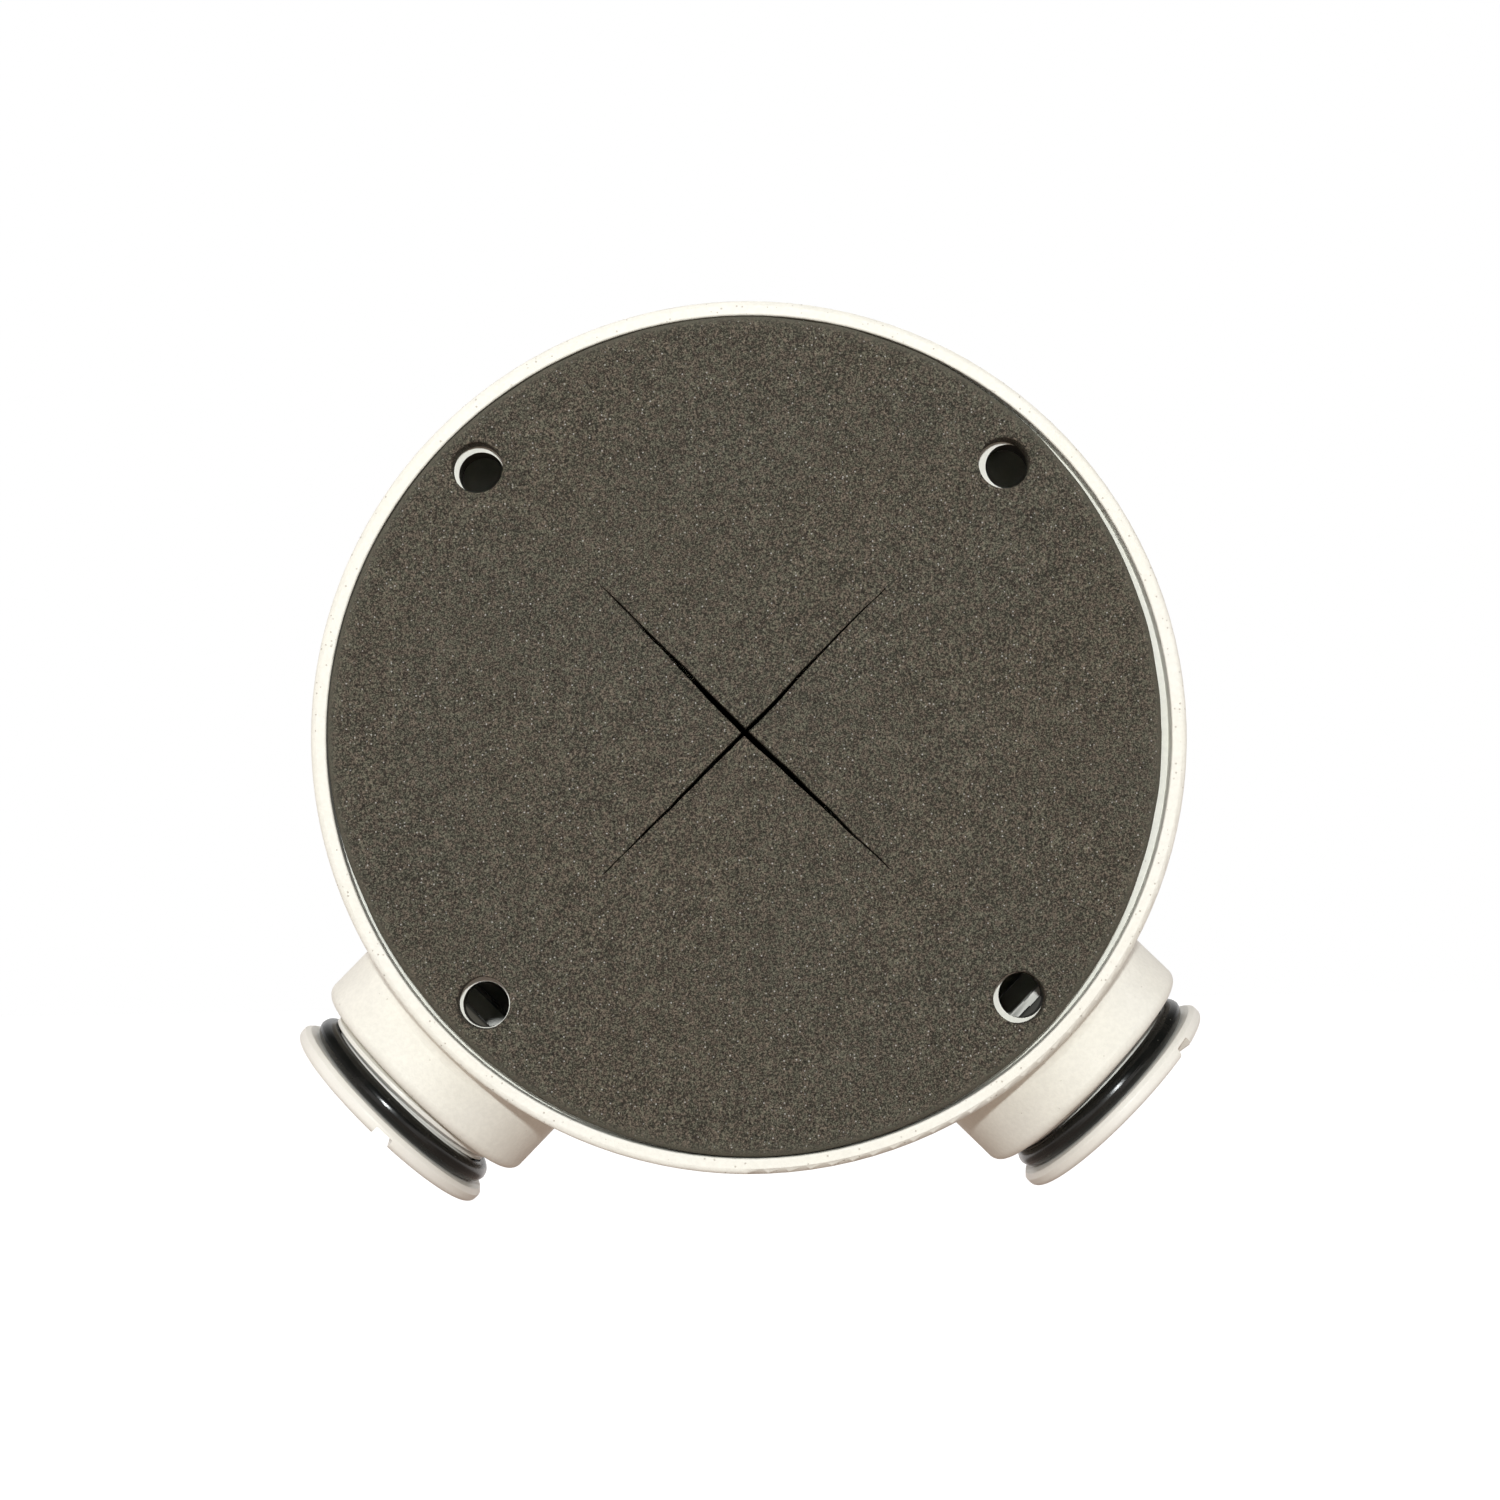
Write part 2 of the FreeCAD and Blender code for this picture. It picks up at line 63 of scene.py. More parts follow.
def node_span(name):
    """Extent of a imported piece's box."""
    low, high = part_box(name)
    return high - low


def turning_joint(side):
    """The joint that a plug turns on."""
    return next(joint for joint in frame["joints"] if joint["name"] == side + "_plug_turn")


def conduit_place(side):
    """Matrix of one conduit entry: Z runs outward, X faces the wall."""
    joint = turning_joint(side)
    outward = Vector(joint["axis"]).normalized()
    toward_wall = Vector((0, -1, 0))
    across = outward.cross(toward_wall)
    turned = Matrix((toward_wall, across, outward)).transposed().to_4x4()
    return Matrix.Translation(Vector(joint["pos_m"])) @ turned


def ring_height(side):
    """Distance of an O-ring's middle along its conduit axis."""
    return (conduit_place(side).inverted() @ node_middle(side + "_plug_seal_ring")).z


SIDES = ("left", "right")
BODY_R = node_span("cover_plate").x / 2
GASKET_LOW, GASKET_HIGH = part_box("wall_gasket")
GASKET_MIDDLE = (GASKET_LOW + GASKET_HIGH) / 2
GASKET_R = (GASKET_HIGH.x - GASKET_LOW.x) / 2
GASKET_THICK = GASKET_HIGH.y - GASKET_LOW.y
FLANGE_PLAY = 0.005 * MM
FLANGE_R = node_span("left_plug").y / 2 - FLANGE_PLAY
RING_OUTER = node_span("left_plug_seal_ring").y / 2
RING_SLANT = node_span("left_plug_seal_ring").x / 2
RING_R = (RING_OUTER - RING_SLANT) / (1 - math.sqrt(0.5))
RING_TUBE = RING_OUTER - RING_R

WALL_HOLE_CIRCLE_R = 46.15 * MM
WALL_HOLE_PLACE = WALL_HOLE_CIRCLE_R * math.sqrt(0.5)

# ---------------------------------------------------------------- sizes of the moulded and cut details

# Conduit thread and plug
THREAD_PITCH = 1.814 * MM
THREAD_CREST_R = 13.17 * MM
THREAD_ROOT_R = 12.02 * MM
THREAD_FIT = 0.03 * MM
THREAD_BEGIN_FROM_SLOT = math.radians(32.6)
THREAD_BEGIN_INSET = 0.72 * MM
THREAD_COLUMNS = 96
THREAD_ROWS = 16
PLUG_CREST_SHARE, PLUG_FLANK_SHARE = 0.20, 0.88
BORE_CREST_SHARE, BORE_FLANK_SHARE = 0.22, 0.90
BORE_R = 13.22 * MM
BOSS_END = 60.8 * MM
BORE_INNER_END = 51.2 * MM
BORE_CHAMFER = 0.6 * MM
LINER_R = 13.7 * MM
COLLAR_R = 15.0 * MM
COLLAR_FACE = 48.25 * MM
COLLAR_ROUND = 0.3 * MM
NECK_R = 11.70 * MM
HOLLOW_R = 10.57 * MM
HOLLOW_ROUND = 0.6 * MM
SHANK_TIP_R = 12.67 * MM
SHANK_LENGTH = 16.85 * MM
RING_PLAY = 0.05 * MM
FLANGE_THICK = 2.0 * MM
FLANGE_UNDER_CHAMFER = 0.5 * MM
FLANGE_FACE_ROUND = 0.8 * MM
PLUG_WEB = 3.4 * MM
PLUG_SOFT_EDGE = 0.12 * MM
SLOT_WIDTH = 2.6 * MM
SLOT_DEPTH = 1.1 * MM
SLOT_FLARE = 0.12 * MM
SLOT_FLOOR_ROUND = 0.25 * MM
SLOT_TURN = {"left": math.radians(-7.6), "right": math.radians(-40.0)}

# O-ring
RING_AROUND = 180
RING_SECTION = 48
FLASH_HEIGHT = 0.03 * MM
FLASH_WIDTH = 0.055
FLASH_SEAMS = (0.0, math.pi)
FLASH_EXTRA_ANGLES = (-0.09, -0.05, 0.05, 0.09)

# Foam gasket: holes, cross cut and reaches from the box's axis in mm, read off the photo
FOAM_HOLE_R = 3.15 * MM
FOAM_HOLES = ((-32.87, 33.01), (31.85, 32.60), (-32.65, -32.40), (32.09, -32.86))
SLIT_MIDDLE = (-0.57, -0.10)
SLIT_TIPS = ((17.36, 17.79), (-18.12, 18.34), (-18.19, -17.32), (16.98, -17.30))
SLIT_HALF_WIDTHS = (0.26, 0.40, 0.26, 0.40)
SLIT_TIP_HALF_WIDTH = 0.05
FOAM_EDGE_ROLL = 1.0 * MM
# One reach of the hand-pressed disc every 30 degrees, from +X towards +Z
FOAM_REACHES = (50.41, 50.76, 51.38, 51.5, 51.5, 51.5, 51.48, 50.98, 51.04, 51.41, 51.17, 50.64)
FOAM_REACH_LIMIT = 51.54 * MM
FOAM_HOLE_ROLL = 0.28 * MM
FOAM_SLIT_ROLL = 0.16 * MM
FOAM_GRID = 1.35 * MM
FOAM_SWELL = 0.10 * MM
FOAM_EDGE_POINTS = 300
FOAM_HOLE_POINTS = 72
FOAM_SEED = 41
CROSS_CUT_STEPS = 26

# ---------------------------------------------------------------- node arithmetic


class Amount:
    """A number worked out by nodes; arithmetic on it adds Math nodes."""

    def __init__(self, tree, socket):
        self.tree = tree
        self.socket = socket

    def math(self, operation, *others):
        node = self.tree.nodes.new("ShaderNodeMath")
        node.operation = operation
        self.tree.links.new(self.socket, node.inputs[0])
        for place, other in zip(node.inputs[1:], others):
            feed(self.tree, other, place)
        return Amount(self.tree, node.outputs[0])

    def __add__(self, other):
        return self.math("ADD", other)

    def __sub__(self, other):
        return self.math("SUBTRACT", other)

    def __mul__(self, other):
        return self.math("MULTIPLY", other)

    def __truediv__(self, other):
        return self.math("DIVIDE", other)

    def spread(self, low, high, to_low=0.0, to_high=1.0, smooth=True):
        """Carries the range low..high over to to_low..to_high."""
        node = self.tree.nodes.new("ShaderNodeMapRange")
        node.interpolation_type = "SMOOTHSTEP" if smooth else "LINEAR"
        node.clamp = True
        for place, other in zip(node.inputs, (self, low, high, to_low, to_high)):
            feed(self.tree, other, place)
        return Amount(self.tree, node.outputs[0])


def feed(tree, value, place):
    """Links an amount or sets a plain number."""
    if isinstance(value, Amount):
        tree.links.new(value.socket, place)
    else:
        place.default_value = value


def parts_of(tree, place):
    """The three parts of a place, as amounts."""
    split = tree.nodes.new("ShaderNodeSeparateXYZ")
    tree.links.new(place, split.inputs[0])
    return [Amount(tree, socket) for socket in split.outputs]


def blended(tree, factor, first, second):
    """Colour between two colours, each a plain one or another node's."""
    node = tree.nodes.new("ShaderNodeMix")
    node.data_type = "RGBA"
    feed(tree, factor, node.inputs["Factor"])
    for label, colour in (("A", first), ("B", second)):
        place = next(s for s in node.inputs if s.name == label and s.type == "RGBA")
        if isinstance(colour, tuple):
            place.default_value = (*colour, 1.0)
        else:
            tree.links.new(colour, place)
    return next(s for s in node.outputs if s.type == "RGBA")


def empty_material(name):
    """A node material, its bare tree and the socket that takes its shader."""
    material = bpy.data.materials.new(name)
    material.use_nodes = True
    tree = material.node_tree
    tree.nodes.clear()
    return material, tree, tree.nodes.new("ShaderNodeOutputMaterial").inputs["Surface"]


def set_inputs(modifier, values):
    """Sets a node modifier's inputs by their sockets' identifiers."""
    for socket in modifier.node_group.interface.items_tree:
        if socket.item_type == "SOCKET" and socket.in_out == "INPUT" and socket.name in values:
            modifier[socket.identifier] = values[socket.name]


def new_tree(name, inputs):
    """Geometry node tree with named inputs and a geometry output."""
    tree = bpy.data.node_groups.new(name, "GeometryNodeTree")
    tree.interface.new_socket(name="Geometry", in_out="OUTPUT", socket_type="NodeSocketGeometry")
    tree.interface.new_socket(name="Geometry", in_out="INPUT", socket_type="NodeSocketGeometry")
    for label, kind in inputs:
        tree.interface.new_socket(name=label, in_out="INPUT", socket_type="NodeSocket" + kind)
    given = tree.nodes.new("NodeGroupInput")
    return tree, given, tree.nodes.new("NodeGroupOutput")


def finish_tree(tree, given, result, geometry):
    """Ends a tree in Realize Instances and Set Material."""
    realize = tree.nodes.new("GeometryNodeRealizeInstances")
    paint = tree.nodes.new("GeometryNodeSetMaterial")
    tree.links.new(geometry, realize.inputs[0])
    tree.links.new(realize.outputs[0], paint.inputs["Geometry"])
    tree.links.new(given.outputs["Material"], paint.inputs["Material"])
    tree.links.new(paint.outputs[0], result.inputs[0])
    return tree


def thread_tree():
    """Threaded sleeve about Z whose rows follow the helix."""
    tree, given, result = new_tree("helical_thread_sleeve", [
        ("Start", "Float"), ("End", "Float"), ("Pitch", "Float"), ("Crest Radius", "Float"),
        ("Root Radius", "Float"), ("First Radius", "Float"), ("Last Radius", "Float"),
        ("Start Cone Radius", "Float"), ("End Cone Radius", "Float"), ("Crest Height", "Float"),
        ("Begin Turn", "Float"), ("Columns", "Int"), ("Rows Per Pitch", "Int"),
        ("Crest Share", "Float"), ("Flank Share", "Float"), ("Material", "Material")])
    part = {socket.name: Amount(tree, socket) for socket in given.outputs if socket.name}
    start, end, pitch = part["Start"], part["End"], part["Pitch"]
    rows = ((end - start + pitch) / pitch * part["Rows Per Pitch"]).math("CEIL")
    grid = tree.nodes.new("GeometryNodeMeshGrid")
    feed(tree, part["Columns"] + 1, grid.inputs["Vertices X"])
    feed(tree, rows + 1, grid.inputs["Vertices Y"])
    place = tree.nodes.new("GeometryNodeInputPosition")
    across, upward, _ = parts_of(tree, place.outputs[0])
    around = across + 0.5
    along = upward + 0.5
    raw = start - pitch + along * rows * pitch / part["Rows Per Pitch"] + pitch * around
    height = raw.math("MAXIMUM", start).math("MINIMUM", end)
    turns = (height - part["Crest Height"]) / pitch - around
    nearest = turns.math("ROUND")
    off_crest = (turns - nearest).math("ABSOLUTE") * 2
    ridge = off_crest.spread(part["Crest Share"], part["Flank Share"], 1.0, 0.0)
    begun = (nearest + around - part["Begin Turn"]).spread(0.0, 0.045)
    radius = part["Root Radius"] + (part["Crest Radius"] - part["Root Radius"]) * ridge * begun
    radius = radius.math("MINIMUM", part["Start Cone Radius"] + height - start)
    radius = radius.math("MAXIMUM", part["End Cone Radius"] + height - end)
    first = along.math("LESS_THAN", 1e-5)
    last = along.math("GREATER_THAN", 1 - 1e-5)
    radius = radius + (part["First Radius"] - radius) * first
    radius = radius + (part["Last Radius"] - radius) * last
    angle = around * TURN
    spot = tree.nodes.new("ShaderNodeCombineXYZ")
    feed(tree, radius * angle.math("COSINE"), spot.inputs["X"])
    feed(tree, radius * angle.math("SINE"), spot.inputs["Y"])
    feed(tree, height, spot.inputs["Z"])
    shape = tree.nodes.new("GeometryNodeSetPosition")
    tree.links.new(grid.outputs["Mesh"], shape.inputs["Geometry"])
    tree.links.new(spot.outputs[0], shape.inputs["Position"])
    merge = tree.nodes.new("GeometryNodeMergeByDistance")
    merge.inputs["Distance"].default_value = 0.002 * MM
    tree.links.new(shape.outputs[0], merge.inputs["Geometry"])
    return finish_tree(tree, given, result, merge.outputs[0])


def fastener_ring_tree():
    """Repeats the modifier's own mesh round a pitch circle, each copy turned at random."""
    tree, given, result = new_tree("fastener_ring", [
        ("Count", "Int"), ("Circle Radius", "Float"), ("Seed", "Int"), ("Material", "Material")])
    circle = tree.nodes.new("GeometryNodeMeshCircle")
    tree.links.new(given.outputs["Count"], circle.inputs["Vertices"])
    tree.links.new(given.outputs["Circle Radius"], circle.inputs["Radius"])
    upright = tree.nodes.new("GeometryNodeTransform")
    upright.inputs["Rotation"].default_value = (math.radians(-90), 0, 0)
    tree.links.new(circle.outputs[0], upright.inputs["Geometry"])
    chance = tree.nodes.new("FunctionNodeRandomValue")
    chance.inputs["Max"].default_value = TURN
    tree.links.new(given.outputs["Seed"], chance.inputs["Seed"])
    turn = tree.nodes.new("ShaderNodeCombineXYZ")
    tree.links.new(next(s for s in chance.outputs if s.type == "VALUE"), turn.inputs["Y"])
    copies = tree.nodes.new("GeometryNodeInstanceOnPoints")
    tree.links.new(upright.outputs[0], copies.inputs["Points"])
    tree.links.new(given.outputs["Geometry"], copies.inputs["Instance"])
    tree.links.new(turn.outputs[0], copies.inputs["Rotation"])
    return finish_tree(tree, given, result, copies.outputs[0])


def grown(host, tree, values):
    """Plain mesh that a node tree makes on a host mesh."""
    carrier = bpy.data.objects.new("carrier", host)
    bpy.context.scene.collection.objects.link(carrier)
    modifier = carrier.modifiers.new("tree", "NODES")
    modifier.node_group = tree
    set_inputs(modifier, values)
    view = bpy.context.evaluated_depsgraph_get()
    mesh = bpy.data.meshes.new_from_object(carrier.evaluated_get(view), depsgraph=view)
    carrier.modifiers.remove(modifier)
    bpy.data.objects.remove(carrier)
    return mesh


# ---------------------------------------------------------------- mesh helpers


def ordinary_radius(radius):
    """Radius of a profile point at any angle."""
    return radius if callable(radius) else (lambda angle: radius)


def hexagon_radius(across_flats):
    """Radius of a hexagon at an angle, with corners at whole sixths."""
    sixth = TURN / 6
    return lambda angle: across_flats / 2 / math.cos((angle + 1e-9) % sixth - sixth / 2)


def arc(radius, height, size, from_deg, to_deg, steps):
    """Profile points on a round about (radius, height); 0 degrees points outward, 90 up."""
    points = []
    for step in range(steps + 1):
        angle = math.radians(from_deg + (to_deg - from_deg) * step / steps)
        points.append((radius + size * math.cos(angle), height + size * math.sin(angle)))
    return points


def bridge(mesh, loops):
    """Faces from each closed loop of points to the next."""
    for near, far in zip(loops, loops[1:]):
        for index in range(len(near)):
            after = (index + 1) % len(near)
            mesh.faces.new((near[index], near[after], far[after], far[index]))


def lathe(mesh, profile, columns):
    """Adds a turned surface about Z through (radius, height) points."""
    rows = []
    for radius, height in profile:
        radius_at = ordinary_radius(radius)
        row = []
        for column in range(columns):
            angle = TURN * column / columns
            reach = radius_at(angle)
            row.append(mesh.verts.new((reach * math.cos(angle), reach * math.sin(angle), height)))
        rows.append(row)
    bridge(mesh, rows)


def closed_mesh(mesh, name, merge=0.002 * MM):
    """Merges doubles, closes small gaps, points the faces outward and returns the mesh data."""
    bmesh.ops.remove_doubles(mesh, verts=mesh.verts, dist=merge)
    bmesh.ops.dissolve_degenerate(mesh, edges=mesh.edges, dist=merge / 4)
    bmesh.ops.holes_fill(mesh, edges=[edge for edge in mesh.edges if edge.is_boundary], sides=6)
    bmesh.ops.recalc_face_normals(mesh, faces=mesh.faces)
    data = bpy.data.meshes.new(name)
    mesh.to_mesh(data)
    mesh.free()
    return data


def smooth_by_angle(data, degrees):
    """Shades a mesh smooth except over sharp corners."""
    data.polygons.foreach_set("use_smooth", [True] * len(data.polygons))
    data.set_sharp_from_angle(angle=math.radians(degrees))


def add_piece(name, data, material, body, slot, *nodes):
    """Puts a finished mesh in the scene, on its body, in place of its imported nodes."""
    data.name = name
    data.materials.clear()
    data.materials.append(material)
    piece = bpy.data.objects.new(name, data)
    bpy.context.scene.collection.objects.link(piece)
    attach(piece, body)
    if nodes:
        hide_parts(*nodes)
    return piece


def dress(name, material):
    """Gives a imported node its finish."""
    node = frame["nodes"][name]
    for place in node.material_slots:
        place.material = material


# ---------------------------------------------------------------- finishes


class Finish:
    """A node material mixed on the piece's own coordinates, in metres."""

    def __init__(self, name):
        self.material, self.tree, surface = empty_material(name)
        self.shader = self.tree.nodes.new("ShaderNodeBsdfPrincipled")
        self.tree.links.new(self.shader.outputs[0], surface)
        coordinates = self.tree.nodes.new("ShaderNodeTexCoord")
        self.place = coordinates.outputs["Object"]
        self.x, self.y, self.z = parts_of(self.tree, self.place)

    def set(self, **values):
        """Sets shader inputs that are the same all over."""
        for label, value in values.items():
            self.shader.inputs[label.replace("_", " ").title().replace("Ior", "IOR")].default_value = value

    def moved(self, location, rotation=(0, 0, 0), scale=(1, 1, 1)):
        """The piece's coordinates, centred or turned for a pattern."""
        mapping = self.tree.nodes.new("ShaderNodeMapping")
        mapping.vector_type = "TEXTURE"
        mapping.inputs["Location"].default_value = location
        mapping.inputs["Rotation"].default_value = rotation
        mapping.inputs["Scale"].default_value = scale
        self.tree.links.new(self.place, mapping.inputs["Vector"])
        return mapping.outputs[0]

    def cloud(self, grain_mm, detail=2.0, roughness=0.5, place=None):
        """Soft noise with grains of a given size."""
        node = self.tree.nodes.new("ShaderNodeTexNoise")
        node.inputs["Scale"].default_value = 1 / (grain_mm * MM)
        node.inputs["Detail"].default_value = detail
        node.inputs["Roughness"].default_value = roughness
        self.tree.links.new(place or self.place, node.inputs["Vector"])
        return Amount(self.tree, node.outputs[0])

    def cells(self, size_mm):
        """Distance to the nearest cell's middle, and a number of that cell's own."""
        node = self.tree.nodes.new("ShaderNodeTexVoronoi")
        node.inputs["Scale"].default_value = 1 / (size_mm * MM)
        self.tree.links.new(self.place, node.inputs["Vector"])
        split = self.tree.nodes.new("ShaderNodeSeparateColor")
        self.tree.links.new(node.outputs["Color"], split.inputs[0])
        return Amount(self.tree, node.outputs["Distance"]), Amount(self.tree, split.outputs[0])

    def mix(self, factor, first, second):
        """Colour between two colours."""
        return blended(self.tree, factor, first, second)

    def scaled(self, colour, amount):
        """Colour times an amount."""
        node = self.tree.nodes.new("ShaderNodeVectorMath")
        node.operation = "SCALE"
        self.tree.links.new(colour, node.inputs[0])
        feed(self.tree, amount, node.inputs["Scale"])
        return node.outputs[0]

    def relief(self, height, depth_mm, below=None):
        """Bump of a given depth over another bump."""
        node = self.tree.nodes.new("ShaderNodeBump")
        node.inputs["Distance"].default_value = depth_mm * MM
        feed(self.tree, height, node.inputs["Height"])
        if below:
            self.tree.links.new(below, node.inputs["Normal"])
        return node.outputs[0]

    def wear(self, colour, roughness, normal=None):
        """Links the mixed colour, roughness and relief to the shader."""
        self.tree.links.new(colour, self.shader.inputs["Base Color"])
        feed(self.tree, roughness, self.shader.inputs["Roughness"])
        if normal:
            self.tree.links.new(normal, self.shader.inputs["Normal"])
        return self.material


def worn_rim(finish):
    """One on small rubbed spots of the rim that faces the wall."""
    radius = (finish.x * finish.x + finish.z * finish.z).math("SQRT")
    rim = radius.spread(BODY_R - 2.4 * MM, BODY_R - 1.2 * MM)
    rim = rim * finish.y.spread(2.4 * MM, 3.4 * MM, 1.0, 0.0)
    rub, odds = finish.cells(0.62)
    return rub.spread(0.10, 0.24, 1.0, 0.0) * odds.spread(0.72, 0.74) * rim


def painted_shade_at_holes(finish):
    """One where painted shade darkens the walls of the wall screw holes and the inside of the box close round
    them.
    """
    aside = finish.x.math("ABSOLUTE") - WALL_HOLE_PLACE
    above = finish.z.math("ABSOLUTE") - WALL_HOLE_PLACE
    shade_reach = finish.y.spread(5.2 * MM, 5.6 * MM, 2.88 * MM, 5.0 * MM)
    hole_shade = (shade_reach - (aside * aside + above * above).math("SQRT")).spread(-0.03 * MM, 0.03 * MM)
    hole_shade = hole_shade * finish.y.spread(2.98 * MM, 3.10 * MM)
    return hole_shade * finish.y.spread(9 * MM, 10 * MM, 1.0, 0.0)


def powder_coat(name, worn_and_shaded_shell):
    """Off-white textured powder coat on die-cast metal; on the shell also rubbed rim spots and painted shade at
    the wall screw holes.
    """
    finish = Finish(name)
    broad = finish.cloud(16.0, 2.0)
    patch = finish.cloud(3.2, 3.0, 0.55)
    grain = finish.cloud(0.55, 2.0, 0.6)
    fine = finish.cloud(0.22, 2.0, 0.6)
    colour = finish.mix(broad.spread(0.3, 0.7), (0.880, 0.872, 0.785), (0.890, 0.886, 0.815))
    colour = finish.scaled(colour, patch.spread(0.25, 0.75, 0.975, 1.015))
    colour = finish.scaled(colour, grain.spread(0.3, 0.7, 0.965, 1.02))
    roughness = patch.spread(0.3, 0.7, 0.44, 0.56)
    pit, chance = finish.cells(1.1)
    pitted = pit.spread(0.06, 0.12, 1.0, 0.0) * chance.spread(0.80, 0.82)
    if worn_and_shaded_shell:
        rubbed = worn_rim(finish)
        colour = finish.mix(rubbed * 0.42, colour, (0.42, 0.36, 0.28))
        pitted = pitted.math("MAXIMUM", rubbed)
    colour = finish.mix(pitted * 0.30, colour, (0.40, 0.35, 0.28))
    # Painted shade: a dark colour on the walls of the wall screw holes and inside the box round them stands in
    # for their shade.
    # The left holes are painted a little lighter, as painted light from the left; more roughness there dulls
    # the gloss.
    if worn_and_shaded_shell:
        hole_shade = painted_shade_at_holes(finish)
        painted_shade_tone = finish.mix(finish.x.spread(-WALL_HOLE_PLACE, WALL_HOLE_PLACE),
                           (0.040, 0.033, 0.020), (0.018, 0.017, 0.014))
        colour = finish.mix(hole_shade * 0.94, colour, painted_shade_tone)
        roughness = roughness + hole_shade * 0.45
    normal = finish.relief(grain, 0.035)
    normal = finish.relief(fine, 0.010, normal)
    normal = finish.relief(pitted, -0.05, normal)
    finish.set(specular_ior_level=0.42)
    return finish.wear(colour, roughness, normal)


def foam_rubber():
    """Dark grey-brown closed-cell sponge with rough grain, painted shade in its pores and painted glints on its
    cut cells.
    """
    finish = Finish("foam_rubber")
    broad = finish.cloud(24.0, 2.0, 0.5)
    patch = finish.cloud(3.0, 3.0, 0.6)
    tint = finish.cloud(0.9, 2.0, 0.6)
    grain = finish.cloud(0.34, 2.0, 0.8)
    fine = finish.cloud(0.18, 1.0, 0.5)
    colour = finish.mix(broad.spread(0.3, 0.7), (0.068, 0.061, 0.047), (0.076, 0.063, 0.046))
    colour = finish.mix(tint.spread(0.40, 0.60) * 0.7, colour, (0.081, 0.067, 0.052))
    colour = finish.mix(tint.spread(0.60, 0.40) * 0.6, colour, (0.072, 0.074, 0.054))
    edge = finish.tree.nodes.new("ShaderNodeAttribute")
    edge.attribute_name = "rolled_edge"
    rolled = Amount(finish.tree, edge.outputs["Fac"])
    open_cells = rolled.spread(0.0, 1.0, 1.0, 0.30)
    speckled = (grain - 0.5) * 4.8 + (fine - 0.5) * 5.0 + (patch - 0.5) * 1.0
    colour = finish.scaled(colour, (speckled * open_cells + 1).math("MAXIMUM", 0.42))
    # Painted shade: the pores are painted dark to stand in for the shade inside them.
    pore, depth = finish.cells(0.55)
    pores = pore.spread(0.12, 0.34, 1.0, 0.0) * depth.spread(0.50, 0.56) * open_cells
    colour = finish.mix(pores * 0.60, colour, (0.022, 0.019, 0.015))
    # Painted highlights: small bright glints of light on the cut cells, painted into the colour.
    glint, luck = finish.cells(0.50)
    glints = glint.spread(0.12, 0.26, 1.0, 0.0) * luck.spread(0.64, 1.0, 0.0, 1.0) * open_cells
    colour = finish.mix(glints * 0.85, colour, (0.46, 0.45, 0.42))
    colour = finish.mix(rolled * 0.7, colour, (0.122, 0.118, 0.092))
    normal = finish.relief(grain, 0.10)
    normal = finish.relief(fine, 0.03, normal)
    normal = finish.relief(pores, -0.12, normal)
    finish.set(specular_ior_level=0.20)
    return finish.wear(colour, grain.spread(0.3, 0.7, 0.80, 0.94), normal)


def moulded_nylon(name, dark, light, roughness):
    """Satin moulded plastic with faint flow clouds and scuffs."""
    finish = Finish(name)
    flow = finish.cloud(7.0, 2.0, 0.5)
    fine = finish.cloud(0.30, 2.0, 0.6)
    scuff = finish.cloud(1.3, 4.0, 0.7, finish.moved((0, 0, 0), (0.4, 0.9, 0.2), (1, 1, 0.18)))
    colour = finish.mix(flow.spread(0.3, 0.7), dark, light)
    colour = finish.scaled(colour, fine.spread(0.3, 0.7, 0.985, 1.01))
    normal = finish.relief(fine, 0.006)
    normal = finish.relief(scuff, 0.008, normal)
    finish.set(specular_ior_level=0.45)
    return finish.wear(colour, scuff.spread(0.3, 0.75, roughness - 0.05, roughness + 0.10), normal)


def ring_rubber():
    """Glossy black rubber with a little dust."""
    finish = Finish("ring_rubber")
    haze = finish.cloud(4.5, 3.0, 0.6)
    fine = finish.cloud(0.5, 3.0, 0.65)
    colour = finish.mix(haze.spread(0.35, 0.7), (0.0050, 0.0056, 0.0048), (0.0090, 0.0088, 0.0074))
    mote, luck = finish.cells(0.75)
    dust = mote.spread(0.05, 0.12, 1.0, 0.0) * luck.spread(0.86, 0.88)
    colour = finish.mix(dust * 0.7, colour, (0.20, 0.20, 0.18))
    normal = finish.relief(fine, 0.010)
    finish.set(specular_ior_level=0.40)
    return finish.wear(colour, haze.spread(0.3, 0.75, 0.20, 0.30), normal)


def matte_rubber():
    """Matte black cord rubber of the cover seal."""
    finish = Finish("seal_cord_rubber")
    grain = finish.cloud(0.35, 3.0, 0.65)
    haze = finish.cloud(6.0, 2.0, 0.5)
    colour = finish.mix(haze.spread(0.3, 0.7), (0.030, 0.030, 0.030), (0.044, 0.043, 0.041))
    finish.set(specular_ior_level=0.3)
    return finish.wear(colour, grain.spread(0.3, 0.7, 0.66, 0.82), finish.relief(grain, 0.02))


